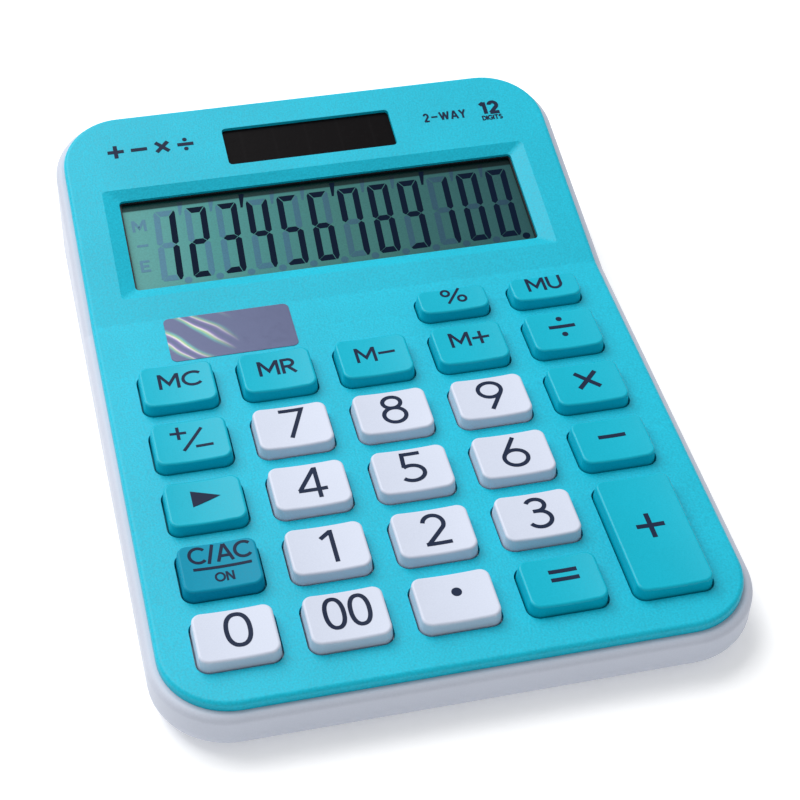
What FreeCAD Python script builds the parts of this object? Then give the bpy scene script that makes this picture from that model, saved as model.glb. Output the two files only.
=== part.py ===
import FreeCAD, Part
import math
import os

import Sketcher
from FreeCAD import Placement, Rotation, Vector

# A desk calculator: a turquoise face plate with a bent display section on a white lower case, with a
# key cap on a rubber dome under each of its key holes, and the board, display and cells inside.
#
# Frames. The row frame has +Z up and its origin on the table under the middle of the case.
# The deck frame lies in the keypad face: x to the right, y up the keypad, z out of the face; its origin
# is the middle of the key row 7-8-9. The display frame lies in the face of the display section, with
# its x axis on the crease. Sub-parts that follow one of these planes are drawn in that plane's frame
# and take it as their Placement.

doc = FreeCAD.newDocument("desk_calculator")

DIMENSIONS = {
    # case
    "case_width": 107.0,
    "case_length": 149.5,
    "case_corner": 14.0,
    "case_bottom": 0.6,
    "case_wall": 2.8,
    "floor_thick": 1.8,
    "bottom_round": 4.0,
    "rim_round": 1.3,
    # planes of the face
    "deck_y": -15.2,
    "deck_z": 13.83,
    "deck_tilt": 2.8,
    "crease_y": 35.8,
    "display_tilt": 11.5,
    "display_length": 53.6,
    # cover
    "cover_width": 103.4,
    "cover_front": 57.9,
    "cover_corner": 12.5,
    "plate": 1.9,
    "edge_round": 0.9,
    "seam_gap": 0.02,
    "rib_gap": 1.3,
    "rib_thick": 1.0,
    "rib_depth": 1.5,
    "rib_inset": 2.0,
    "boss_embed": 1.0,
    # display window and its sloping bezel
    "bezel_width": 90.0,
    "bezel_height": 28.0,
    "bezel_middle": 19.9,
    "bezel_depth": 1.0,
    "window_width": 83.7,
    "window_height": 23.1,
    "window_middle": 20.0,
    "window_corner": 0.9,
    # solar window
    "solar_x": 0.3,
    "solar_middle": 42.0,
    "solar_width": 36.2,
    "solar_height": 10.0,
    "solar_depth": 0.8,
    "solar_margin": 1.2,
    "solar_thick": 1.1,
    "foam_width": 24.0,
    "foam_height": 7.0,
    "foam_thick": 2.5,
    "lead_radius": 0.5,
    "lead_x_red": 16.0,
    "lead_x_black": -15.4,
    # keys
    "pitch_x": 19.0,
    "pitch_y": 15.1,
    "key_width": 13.8,
    "key_height": 10.4,
    "short_height": 6.4,
    "tall_height": 25.7,
    "short_row_y": 27.8,
    "key_corner": 2.0,
    "key_rise": 2.6,
    "key_flare": 0.25,
    "key_dish": 0.42,
    "dish_radius": 62.0,
    "key_edge": 0.45,
    "key_gap": 0.35,
    "key_wall": 1.1,
    "key_roof": 1.2,
    "flange_lip": 0.8,
    "flange_thick": 0.7,
    "flange_gap": 0.1,
    "post_radius": 2.0,
    "post_end": 3.2,
    "post_embed": 0.5,
    "notch_gap": 0.35,
    # board, rubber mat and its domes
    "board_width": 93.2,
    "board_front": 52.0,
    "board_back": 47.0,
    "board_top": 5.5,
    "board_thick": 1.2,
    "board_corner": 3.0,
    "board_post_back": 22.45,
    "mat_thick": 0.6,
    "mat_margin": 0.6,
    "mat_back": 33.5,
    "dome_base": 4.2,
    "dome_crown": 2.6,
    "dome_rise": 1.65,
    "dome_wall": 0.6,
    "pill_radius": 1.5,
    "pill_thick": 0.25,
    # display sandwich
    "glass_width": 86.0,
    "glass_height": 25.6,
    "glass_thick": 0.7,
    "glass_ledge": 3.0,
    "film_thick": 0.2,
    "holder_width": 90.4,
    "holder_height": 29.6,
    "collar_wall": 0.3,
    "collar_drop": 0.5,
    "holder_corner": 1.5,
    "glass_corner": 0.3,
    "seat_corner": 0.5,
    "layer_gap": 0.02,
    "ribbon_width": 60.0,
    "ribbon_thick": 0.12,
    "ribbon_slot_gap": 0.4,
    "holder_web": 0.25,
    "fit_gap": 0.05,
    # screws
    "boss_radius": 2.0,
    "boss_end_front": 4.6,
    "boss_end_middle": 7.15,
    "boss_end_back": 18.0,
    "back_screw_x": 43.0,
    "back_screw_y": 65.5,
    "pilot_radius": 1.0,
    "pilot_depth": 5.0,
    "screw_shelf": 1.5,
    "screw_radius": 0.95,
    "screw_length": 6.0,
    "head_radius": 2.0,
    "head_thick": 1.3,
    "bore_radius": 2.4,
    "clear_radius": 1.2,
    "case_post_radius": 3.3,
    "board_post_radius": 1.7,
    "board_screw_radius": 0.65,
    "board_screw_length": 4.0,
    "board_head_radius": 1.4,
    "board_head_thick": 0.8,
    # feet
    "foot_radius": 4.0,
    "foot_thick": 0.9,
    "foot_x": 42.0,
    "foot_y": 56.5,
    "foot_recess": 0.3,
    "foot_edge": 0.25,
    # parts on the board
    "cell_x": -24.0,
    "cell_y": 40.0,
    "cell_radius": 5.8,
    "cell_thick": 5.4,
    "cell_edge": 0.6,
    "spring_sheet": 0.3,
    "leaf_width": 5.0,
    "leaf_length": 12.0,
    "leaf_front": 4.0,
    "clip_width": 6.0,
    "clip_reach": 2.0,
    "blob_x": 4.0,
    "blob_y": 30.0,
    "blob_radius": 7.5,
    "blob_height": 1.6,
    "can_x": 24.0,
    "can_y": 40.0,
    "can_radius": 2.5,
    "can_height": 5.0,
    "can_edge": 0.4,
    # sticker
    "sticker_width": 25.0,
    "sticker_height": 12.2,
    "sticker_x": -25.4,
    "sticker_y": 29.4,
    "sticker_thick": 0.08,
    "sticker_corner": 1.2,
    # allowances: length of cuts that go right through, and how far a tool stands out of what it cuts
    "block_height": 35.0,
    "cut_through": 40.0,
    "overshoot": 1.0,
    "hair_gap": 0.01,
}

sheet = doc.addObject("Spreadsheet::Sheet", "dims")
for row_number, (alias, value) in enumerate(DIMENSIONS.items(), start=1):
    sheet.set("A%d" % row_number, alias)
    sheet.set("B%d" % row_number, str(value))
    sheet.setAlias("B%d" % row_number, alias)
doc.recompute()


def dim(alias):
    """Value of one cell of the sheet, in millimetres or degrees."""
    return float(getattr(sheet, alias))


# ---------------------------------------------------------------- frames
deck_frame = Placement(Vector(0, dim("deck_y"), dim("deck_z")), Rotation(Vector(1, 0, 0), dim("deck_tilt")))
display_in_deck = Placement(Vector(0, dim("crease_y"), 0), Rotation(Vector(1, 0, 0), dim("display_tilt")))
display_frame = deck_frame.multiply(display_in_deck)

sub_parts = []


def sub_part(thing, node_name, frame=Placement()):
    """Label a finished object as one sub-part and put it in its frame."""
    thing.Label = node_name
    thing.Placement = frame
    sub_parts.append(thing)
    return thing


# ---------------------------------------------------------------- drawing helpers
def origin_plane(body, role):
    """One of a body's own origin planes, found by its role."""
    for feature in body.Origin.OriginFeatures:
        if feature.Role == role:
            return feature
    raise ValueError(role)


def new_body(name):
    """An empty PartDesign body."""
    return doc.addObject("PartDesign::Body", name)


def new_sketch(body, name, role="XY_Plane", offset=Placement(), expressions=None):
    """A sketch on one of the body's origin planes, moved and turned by offset."""
    sketch = body.newObject("Sketcher::SketchObject", name)
    sketch.AttachmentSupport = [(origin_plane(body, role), "")]
    sketch.MapMode = "FlatFace"
    sketch.AttachmentOffset = offset
    for path, expression in (expressions or {}).items():
        sketch.setExpression("AttachmentOffset." + path, expression)
    return sketch


def at_height(expression):
    """Attachment expressions for a sketch lifted out of its plane."""
    return {"Base.z": expression}


def in_display(expression="0"):
    """Offset and expressions for a sketch in the display plane of a body drawn in the deck frame."""
    return {"Base.y": "dims.crease_y - (%s) * sin(dims.display_tilt * 1deg)" % expression,
            "Base.z": "(%s) * cos(dims.display_tilt * 1deg)" % expression,
            "Rotation.Angle": "dims.display_tilt * 1deg"}


# offsets that only give the axis a sketch is turned about; the angle comes from an expression
TILTED = Placement(Vector(), Rotation(Vector(1, 0, 0), 1))
SPUN = Placement(Vector(), Rotation(Vector(0, 0, 1), 1))


def add_rectangle(sketch, width, height, corner, middle=("0", "0")):
    """Rounded rectangle; all sizes are expressions on the sheet and stay bound to it."""
    half_w, half_h, radius = (sheet_value(width) / 2, sheet_value(height) / 2, sheet_value(corner))
    mid_x, mid_y = sheet_value(middle[0]), sheet_value(middle[1])
    left, right = mid_x - half_w, mid_x + half_w
    low, high = mid_y - half_h, mid_y + half_h
    ends = [((left + radius, low), (right - radius, low)),
            ((right, low + radius), (right, high - radius)),
            ((right - radius, high), (left + radius, high)),
            ((left, high - radius), (left, low + radius))]
    centres = [(right - radius, low + radius), (right - radius, high - radius),
               (left + radius, high - radius), (left + radius, low + radius)]
    first = sketch.GeometryCount
    for start, end in ends:
        sketch.addGeometry(Part.LineSegment(Vector(*start, 0), Vector(*end, 0)))
    for index, centre in enumerate(centres):
        circle = Part.Circle(Vector(*centre, 0), Vector(0, 0, 1), radius)
        start_angle = (index - 1) * math.pi / 2
        sketch.addGeometry(Part.ArcOfCircle(circle, start_angle, start_angle + math.pi / 2))
    for side in range(4):
        line, arc, next_line = first + side, first + 4 + side, first + (side + 1) % 4
        sketch.addConstraint(Sketcher.Constraint("Tangent", line, 2, arc, 1))
        sketch.addConstraint(Sketcher.Constraint("Tangent", arc, 2, next_line, 1))
        sketch.addConstraint(Sketcher.Constraint("Horizontal" if side % 2 == 0 else "Vertical", line))
    for side in range(1, 4):
        sketch.addConstraint(Sketcher.Constraint("Equal", first + 4, first + 4 + side))
    bind(sketch, Sketcher.Constraint("Radius", first + 4, radius), corner)
    bind(sketch, Sketcher.Constraint("DistanceX", first + 3, 1, first + 1, 1, 2 * half_w), width)
    bind(sketch, Sketcher.Constraint("DistanceY", first, 1, first + 2, 1, 2 * half_h), height)
    bind(sketch, Sketcher.Constraint("DistanceX", -1, 1, first + 1, 1, right),
         "(%s) + (%s) / 2" % (middle[0], width))
    bind(sketch, Sketcher.Constraint("DistanceY", -1, 1, first + 2, 1, high),
         "(%s) + (%s) / 2" % (middle[1], height))


def sheet_value(expression):
    """Number that an expression on the sheet stands for."""
    names = {alias: dim(alias) for alias in DIMENSIONS}
    for alias in sorted(names, key=len, reverse=True):
        expression = expression.replace("dims." + alias, repr(names[alias]))
    return float(sheet.evalExpression(expression))


def bind(sketch, constraint, expression):
    """Add a dimension to a sketch and bind it to the sheet."""
    index = sketch.addConstraint(constraint)
    sketch.setExpression("Constraints[%d]" % index, expression)


def pad(body, name, sketch, length, symmetric=False, reverse=False, taper=None):
    """Pad a sketch by an expression."""
    feature = body.newObject("PartDesign::Pad", name)
    feature.Profile = sketch
    feature.SideType = "Symmetric" if symmetric else "One side"
    feature.Reversed = reverse
    feature.Refine = False
    feature.setExpression("Length", length)
    if taper:
        feature.setExpression("TaperAngle", taper)
    return finish_feature(body, feature, grows=True)


def pocket(body, name, sketch, length, symmetric=False, reverse=False):
    """Pocket a sketch by an expression; the volume must go down."""
    feature = body.newObject("PartDesign::Pocket", name)
    feature.Profile = sketch
    feature.SideType = "Symmetric" if symmetric else "One side"
    feature.Reversed = reverse
    feature.Refine = False
    feature.setExpression("Length", length)
    return finish_feature(body, feature, grows=False)


def peg(body, name, radius, height, foot, adds=True, frame=Placement()):
    """Cylinder added to or taken from a body; foot is its foot point (x, y, z as expressions) in frame."""
    kind = "PartDesign::AdditiveCylinder" if adds else "PartDesign::SubtractiveCylinder"
    feature = body.newObject(kind, name)
    feature.Refine = False
    feature.setExpression("Radius", radius)
    feature.setExpression("Height", height)
    place = frame.multiply(Placement(Vector(*[sheet_value(part) for part in foot]), Rotation()))
    feature.Placement = place
    return finish_feature(body, feature, grows=adds)


def finish_feature(body, feature, grows):
    """Recompute and stop if the feature failed or did not change the volume the right way."""
    before = body.Tip.BaseFeature.Shape.Volume if body.Tip.BaseFeature else 0.0
    doc.recompute()
    change = feature.Shape.Volume - before
    if (change > 0) != grows or abs(change) < 1e-6:
        raise RuntimeError("%s of %s changed the volume by %.4f" % (feature.Name, body.Name, change))
    return feature


def fillet(body, name, wanted, radius):
    """Fillet the edges of the body's last feature for which wanted(edge) is true."""
    base = body.Tip
    names = ["Edge%d" % (i + 1) for i, edge in enumerate(base.Shape.Edges) if wanted(edge)]
    if not names:
        raise RuntimeError("no edge for " + name)
    feature = body.newObject("PartDesign::Fillet", name)
    feature.Base = (base, names)
    feature.setExpression("Radius", radius)
    doc.recompute()
    return feature


def middle_of(edge):
    """Point half way along an edge."""
    return edge.valueAt(0.5 * (edge.FirstParameter + edge.LastParameter))


def bent_profile(sketch, front, top, bottom, back):
    """Side view of a bent slab: between two depths under the face, from y = front to back along the display.

    The points run along the upper side, over the crease, and return along the lower side. Depths and
    lengths are expressions; depth is positive downwards.
    """
    tilt = "dims.display_tilt * 1deg"
    crease = "dims.crease_y + (%s) * tan(" + tilt + " / 2)"
    corners = [
        (front, "-(%s)" % top),
        (crease % top, "-(%s)" % top),
        ("dims.crease_y + (%s) * cos(%s) + (%s) * sin(%s)" % (back, tilt, top, tilt),
         "(%s) * sin(%s) - (%s) * cos(%s)" % (back, tilt, top, tilt)),
        ("dims.crease_y + (%s) * cos(%s) + (%s) * sin(%s)" % (back, tilt, bottom, tilt),
         "(%s) * sin(%s) - (%s) * cos(%s)" % (back, tilt, bottom, tilt)),
        (crease % bottom, "-(%s)" % bottom),
        (front, "-(%s)" % bottom),
    ]
    add_polygon(sketch, corners)


def add_polygon(sketch, corners):
    """Closed polygon whose corner coordinates are expressions on the sheet."""
    points = [Vector(sheet_value(x), sheet_value(y), 0) for x, y in corners]
    first = sketch.GeometryCount
    count = len(points)
    for index in range(count):
        sketch.addGeometry(Part.LineSegment(points[index], points[(index + 1) % count]))
    for index in range(count):
        following = first + (index + 1) % count
        sketch.addConstraint(Sketcher.Constraint("Coincident", first + index, 2, following, 1))
    for index, (x, y) in enumerate(corners):
        bind(sketch, Sketcher.Constraint("DistanceX", -1, 1, first + index, 1, points[index].x), x)
        bind(sketch, Sketcher.Constraint("DistanceY", -1, 1, first + index, 1, points[index].y), y)


# ---------------------------------------------------------------- where the keys are
# name, column, row: row 0 is 7-8-9, rows count down the keypad.
STANDARD_KEYS = [
    ("key_mc", 0, -1), ("key_mr", 1, -1), ("key_m_minus", 2, -1), ("key_m_plus", 3, -1),
    ("key_divide", 4, -1),
    ("key_sign", 0, 0), ("key_7", 1, 0), ("key_8", 2, 0), ("key_9", 3, 0), ("key_times", 4, 0),
    ("key_forward", 0, 1), ("key_4", 1, 1), ("key_5", 2, 1), ("key_6", 3, 1), ("key_minus", 4, 1),
    ("key_clear", 0, 2), ("key_1", 1, 2), ("key_2", 2, 2), ("key_3", 3, 2),
    ("key_0", 0, 3), ("key_00", 1, 3), ("key_point", 2, 3), ("key_equals", 3, 3),
]
SHORT_KEYS = [("key_percent", 3), ("key_mu", 4)]
TALL_KEYS = [("key_plus", 4)]
MIDDLE_COLUMN = 2

# each key: name, x expression, y expression, height expression
keys = []
for key_name, column, row in STANDARD_KEYS:
    keys.append((key_name, "%d * dims.pitch_x" % (column - MIDDLE_COLUMN), "%d * dims.pitch_y" % -row,
                 "dims.key_height"))
for key_name, column in SHORT_KEYS:
    keys.append((key_name, "%d * dims.pitch_x" % (column - MIDDLE_COLUMN), "dims.short_row_y",
                 "dims.short_height"))
for key_name, column in TALL_KEYS:
    keys.append((key_name, "%d * dims.pitch_x" % (column - MIDDLE_COLUMN), "-2.5 * dims.pitch_y",
                 "dims.tall_height"))

row_in_deck = deck_frame.inverse()

# screws through the case into the cover: x, y in the row frame, and the height where case post meets boss.
# Two pairs pass between the keys and through the board, the third is behind the display.
WEB_BESIDE_KEYS = 1.5
case_screw_places = []
for side in (-1, 1):
    for deck_row, end in ((-2.5, "dims.boss_end_front"), (0.5, "dims.boss_end_middle")):
        in_web = Vector(side * WEB_BESIDE_KEYS * dim("pitch_x"), deck_row * dim("pitch_y"), -dim("board_top"))
        in_row = deck_frame.multVec(in_web)
        case_screw_places.append((in_row.x, in_row.y, end))
    case_screw_places.append((side * dim("back_screw_x"), dim("back_screw_y"), "dims.boss_end_back"))

# screws that hold the board to posts between the keys: x, y expressions in the deck frame
board_screw_places = []
for side in (-0.5, 0.5):
    for deck_row in ("-2.5 * dims.pitch_y", "-0.5 * dims.pitch_y", "dims.board_post_back"):
        board_screw_places.append(("%s * dims.pitch_x" % side, deck_row))

# ---------------------------------------------------------------- top cover
def make_top_cover():
    """Bent plate with rounded rim, windows, key holes, screw bosses, board posts and locating ribs."""
    body = new_body("top_cover")
    side = new_sketch(body, "cover_side", "YZ_Plane")
    bent_profile(side, "-dims.cover_front", "0", "dims.plate", "dims.display_length")
    pad(body, "cover_plate", side, "dims.cover_width", symmetric=True)

    half_width = dim("cover_width") / 2

    def at_corner(edge):
        centre = middle_of(edge)
        at_side = abs(abs(centre.x) - half_width) < 0.01
        return at_side and edge.Length < dim("plate") + 0.1

    fillet(body, "cover_corners", at_corner, "dims.cover_corner")

    def on_top_rim(edge):
        points = [edge.valueAt(edge.FirstParameter + f * (edge.LastParameter - edge.FirstParameter))
                  for f in (0.0, 0.5, 1.0)]
        return all(abs(depth_under_face(point)) < 0.01 for point in points) and not on_crease(points)

    fillet(body, "cover_rim", on_top_rim, "dims.edge_round")

    # sloping bezel, then the window itself
    outer = new_sketch(body, "bezel_outer", offset=TILTED, expressions=in_display())
    add_rectangle(outer, "dims.bezel_width", "dims.bezel_height", "dims.window_corner",
                  ("0", "dims.bezel_middle"))
    inner = new_sketch(body, "bezel_inner", offset=TILTED, expressions=in_display("-dims.bezel_depth"))
    add_rectangle(inner, "dims.window_width", "dims.window_height", "dims.window_corner",
                  ("0", "dims.window_middle"))
    bezel = body.newObject("PartDesign::SubtractiveLoft", "bezel")
    bezel.Profile = outer
    bezel.Sections = [inner]
    bezel.Ruled = True
    finish_feature(body, bezel, grows=False)
    window = new_sketch(body, "window_outline", offset=TILTED, expressions=in_display())
    add_rectangle(window, "dims.window_width", "dims.window_height", "dims.window_corner",
                  ("0", "dims.window_middle"))
    pocket(body, "window", window, "dims.plate + dims.overshoot")

    # solar window and the seat behind it
    solar = new_sketch(body, "solar_outline", offset=TILTED, expressions=in_display())
    add_rectangle(solar, "dims.solar_width", "dims.solar_height", "dims.window_corner",
                  ("dims.solar_x", "dims.solar_middle"))
    pocket(body, "solar_window", solar, "dims.plate + dims.overshoot")
    seat = new_sketch(body, "solar_seat_outline", offset=TILTED, expressions=in_display("-dims.solar_depth"))
    add_rectangle(seat, "dims.solar_width + 2 * dims.solar_margin + 2 * dims.fit_gap",
                  "dims.solar_height + 2 * dims.solar_margin + 2 * dims.fit_gap", "dims.window_corner",
                  ("dims.solar_x", "dims.solar_middle"))
    pocket(body, "solar_seat", seat, "dims.plate")

    # key holes
    hole_growth = "2 * dims.key_flare + 2 * dims.key_gap"
    row_heights = sorted({y for key_name, x, y, height in keys})
    for index, row_y in enumerate(row_heights):
        holes = new_sketch(body, "key_row_%d_outline" % index)
        for key_name, x, y, height in keys:
            if y == row_y:
                add_rectangle(holes, "dims.key_width + " + hole_growth, height + " + " + hole_growth,
                              "dims.key_corner + dims.key_gap", (x, y))
        pocket(body, "key_row_%d" % index, holes, "dims.plate + dims.overshoot")

    # bosses for the case screws stand square to the table
    for index, (x, y, end) in enumerate(case_screw_places):
        top = underside_height(x, y) + dim("boss_embed")
        peg(body, "case_boss_%d" % index, "dims.boss_radius", "%r - %s" % (top, end),
            (repr(x), repr(y), end), frame=row_in_deck)
    for index, (x, y) in enumerate(board_screw_places):
        peg(body, "board_post_%d" % index, "dims.board_post_radius",
            "dims.board_top - dims.plate + dims.boss_embed", (x, y, "-dims.board_top"))

    # ribs that locate the cover inside the case wall
    for side_sign, side_name in ((-1, "left"), (1, "right")):
        middle = side_sign * (half_width - dim("rib_gap") - dim("rib_thick") / 2)
        rib_plane = Placement(Vector(0, 0, middle), Rotation())
        rib = new_sketch(body, side_name + "_rib_side", "YZ_Plane", rib_plane)
        bent_profile(rib, "-dims.cover_front + dims.cover_corner + dims.rib_inset",
                     "dims.plate - dims.post_embed", "dims.plate + dims.rib_depth",
                     "dims.display_length - dims.cover_corner - dims.rib_inset")
        pad(body, side_name + "_rib", rib, "dims.rib_thick", symmetric=True)

    for index, (x, y, end) in enumerate(case_screw_places):
        peg(body, "case_pilot_%d" % index, "dims.pilot_radius", "dims.pilot_depth",
            (repr(x), repr(y), end), adds=False, frame=row_in_deck)
    for index, (x, y) in enumerate(board_screw_places):
        peg(body, "board_pilot_%d" % index, "dims.board_screw_radius + 0.05", "dims.board_screw_length - 0.5",
            (x, y, "-dims.board_top"), adds=False)
    return sub_part(body, "top_cover", deck_frame)


def depth_under_face(point):
    """Depth of a deck-frame point under the bent face."""
    in_plane = display_in_deck.inverse().multVec(point)
    if in_plane.y > 0:
        return -in_plane.z
    return -point.z


def on_crease(points):
    """True for points that all lie on the crease line."""
    return all(abs(point.y - dim("crease_y")) < 0.01 for point in points)


def underside_height(x, y):
    """Height of the cover's underside above the table at a place in the row frame."""
    tilt = math.radians(dim("deck_tilt"))
    crease = deck_frame.multVec(Vector(0, dim("crease_y"), 0))
    if y < crease.y:
        return dim("deck_z") + (y - dim("deck_y")) * math.tan(tilt) - dim("plate") / math.cos(tilt)
    steep = math.radians(dim("deck_tilt") + dim("display_tilt"))
    return crease.z + (y - crease.y) * math.tan(steep) - dim("plate") / math.cos(steep)


# ---------------------------------------------------------------- rear case
def make_rear_case():
    """White tub: rounded outline cut off along the bent seam, hollowed, with posts and foot recesses."""
    body = new_body("rear_case")
    outline = new_sketch(body, "case_outline", expressions=at_height("dims.case_bottom"))
    add_rectangle(outline, "dims.case_width", "dims.case_length", "dims.case_corner")
    pad(body, "case_block", outline, "dims.block_height")

    # everything above the cover's underside goes; the tool is the bent profile, turned with the deck
    above = new_sketch(body, "above_seam", "YZ_Plane", SPUN,
                       {"Base.x": "dims.deck_y", "Base.y": "dims.deck_z",
                        "Rotation.Angle": "dims.deck_tilt * 1deg"})
    bent_profile(above, "-dims.case_length", "-dims.cut_through", "dims.plate + dims.seam_gap",
                 "dims.case_length")
    pocket(body, "seam", above, "dims.case_width + 2 * dims.overshoot", symmetric=True)

    def on_bottom(edge):
        return edge.BoundBox.ZMax < dim("case_bottom") + 0.01

    fillet(body, "case_bottom_round", on_bottom, "dims.bottom_round")

    def on_seam_rim(edge):
        points = [row_in_deck.multVec(edge.valueAt(p)) for p in (edge.FirstParameter, edge.LastParameter)]
        seam_depth = dim("plate") + dim("seam_gap")
        return all(abs(depth_at_seam(point) - seam_depth) < 0.01 for point in points) and not crosses(edge)

    def crosses(edge):
        return edge.BoundBox.XLength > dim("case_width") - 1 and edge.BoundBox.YLength < 0.01 \
            and abs(row_in_deck.multVec(middle_of(edge)).y - dim("crease_y")) < 1

    fillet(body, "case_rim", on_seam_rim, "dims.rim_round")

    hollow = new_sketch(body, "hollow_outline", expressions=at_height("dims.case_bottom + dims.floor_thick"))
    add_rectangle(hollow, "dims.case_width - 2 * dims.case_wall", "dims.case_length - 2 * dims.case_wall",
                  "dims.case_corner - dims.case_wall")
    pocket(body, "hollow", hollow, "dims.cut_through", reverse=True)

    floor_top = dim("case_bottom") + dim("floor_thick")
    for index, (x, y, end) in enumerate(case_screw_places):
        peg(body, "case_post_%d" % index, "dims.case_post_radius",
            "%s - %r + dims.post_embed" % (end, floor_top),
            (repr(x), repr(y), "%r - dims.post_embed" % floor_top))
    for index, (x, y, end) in enumerate(case_screw_places):
        peg(body, "screw_bore_%d" % index, "dims.bore_radius", "%s - dims.screw_shelf" % end,
            (repr(x), repr(y), "0"), adds=False)
        peg(body, "screw_hole_%d" % index, "dims.clear_radius", end, (repr(x), repr(y), "1"), adds=False)
    for index, (x, y) in enumerate(foot_places()):
        peg(body, "foot_recess_%d" % index, "dims.foot_radius + dims.fit_gap",
            "dims.foot_recess + dims.overshoot",
            (repr(x), repr(y), "dims.case_bottom - dims.overshoot"), adds=False)
    return sub_part(body, "rear_case")


def depth_at_seam(point):
    """Depth under the bent face, with the change of plane on the mitre below the crease."""
    in_plane = display_in_deck.inverse().multVec(point)
    return max(-in_plane.z, -point.z) if point.z > -30 else 30


def foot_places():
    """Middles of the four feet in the row frame."""
    return [(sx * dim("foot_x"), sy * dim("foot_y")) for sx in (-1, 1) for sy in (-1, 1)]


# ---------------------------------------------------------------- keys
def make_key(name, x, y, height):
    """Hollow key cap: flange under the cover, straight skirt in the hole, flared and dished cap, post.

    A tall key's flange is notched where a case screw's boss stands beside it."""
    body = new_body(name)
    base_w = "dims.key_width + 2 * dims.key_flare"
    base_h = height + " + 2 * dims.key_flare"
    skirt_bottom = "-dims.plate - dims.flange_gap"

    flange = new_sketch(body, name + "_flange_outline", expressions=at_height(skirt_bottom))
    add_rectangle(flange, base_w + " + 2 * dims.flange_lip", base_h + " + 2 * dims.flange_lip",
                  "dims.key_corner")
    pad(body, name + "_flange", flange, "dims.flange_thick", reverse=True)

    skirt = new_sketch(body, name + "_skirt_outline", expressions=at_height(skirt_bottom))
    add_rectangle(skirt, base_w, base_h, "dims.key_corner")
    pad(body, name + "_skirt", skirt, "dims.plate + dims.flange_gap")

    cap = new_sketch(body, name + "_cap_outline")
    add_rectangle(cap, base_w, base_h, "dims.key_corner")
    pad(body, name + "_cap", cap, "dims.key_rise", taper="-atan(dims.key_flare / dims.key_rise)")

    dish = body.newObject("PartDesign::SubtractiveCylinder", name + "_dish")
    dish.setExpression("Radius", "dims.dish_radius")
    dish.setExpression("Height", height + " + 2 * dims.overshoot")
    dish.Placement = Placement(Vector(), Rotation(Vector(1, 0, 0), 90))
    dish.setExpression("Placement.Base.y", "(%s) / 2 + dims.overshoot" % height)
    dish.setExpression("Placement.Base.z", "dims.key_rise - dims.key_dish + dims.dish_radius")
    finish_feature(body, dish, grows=False)

    top_edges = []
    for face in body.Tip.Shape.Faces:
        if isinstance(face.Surface, Part.Cylinder) and face.Surface.Radius > dim("key_width"):
            top_edges.extend(face.Edges)
    fillet(body, name + "_edge", lambda edge: any(edge.isSame(other) for other in top_edges), "dims.key_edge")

    hollow = new_sketch(body, name + "_hollow_outline",
                        expressions=at_height(skirt_bottom + " - dims.flange_thick"))
    add_rectangle(hollow, base_w + " - 2 * dims.key_wall", base_h + " - 2 * dims.key_wall",
                  "dims.key_corner - dims.key_wall")
    pocket(body, name + "_hollow", hollow,
           "dims.plate + dims.flange_gap + dims.flange_thick + dims.key_rise - dims.key_dish - dims.key_roof",
           reverse=True)
    if height == "dims.tall_height":
        peg(body, name + "_notch", "dims.boss_radius + dims.notch_gap", "dims.flange_thick",
            ("-dims.pitch_x / 2", "0", skirt_bottom + " - dims.flange_thick"), adds=False)
    peg(body, name + "_post", "dims.post_radius",
        "dims.post_end + dims.key_rise - dims.key_dish - dims.post_embed", ("0", "0", "-dims.post_end"))
    frame = deck_frame.multiply(Placement(Vector(sheet_value(x), sheet_value(y), 0), Rotation()))
    return sub_part(body, name, frame)


# ---------------------------------------------------------------- board, mat and pills
def make_board():
    """Circuit board under the whole keypad, reaching back under the display."""
    body = new_body("main_board")
    outline = new_sketch(body, "board_outline", expressions=at_height("-dims.board_top"))
    add_rectangle(outline, "dims.board_width", "dims.board_front + dims.board_back", "dims.board_corner",
                  ("0", "(dims.board_back - dims.board_front) / 2"))
    pad(body, "board_sheet", outline, "dims.board_thick", reverse=True)
    through = "dims.board_thick + 2 * dims.overshoot"
    start = "-dims.board_top - dims.board_thick - dims.overshoot"
    for index, (x, y) in enumerate(board_screw_places):
        peg(body, "board_hole_%d" % index, "dims.board_screw_radius + 0.15", through,
            (x, y, start), adds=False)
    for index, (x, y) in enumerate(boss_places_in_deck()):
        peg(body, "boss_hole_%d" % index, "dims.boss_radius + dims.notch_gap", through,
            (repr(x), repr(y), start), adds=False)
    return sub_part(body, "main_board", deck_frame)


def boss_places_in_deck():
    """Where the case screws' bosses pass through the board, in the deck frame."""
    web = WEB_BESIDE_KEYS * dim("pitch_x")
    return [(side * web, deck_row * dim("pitch_y")) for side in (-1, 1) for deck_row in (-2.5, 0.5)]


def cone_at(x, y, low, high, low_radius, high_radius):
    """Solid cone frustum between two heights."""
    return Part.makeCone(low_radius, high_radius, high - low, Vector(x, y, low), Vector(0, 0, 1))


def dome_places():
    """Where the domes stand: one under the middle of each key."""
    return [(sheet_value(key[1]), sheet_value(key[2])) for key in keys]


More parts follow.
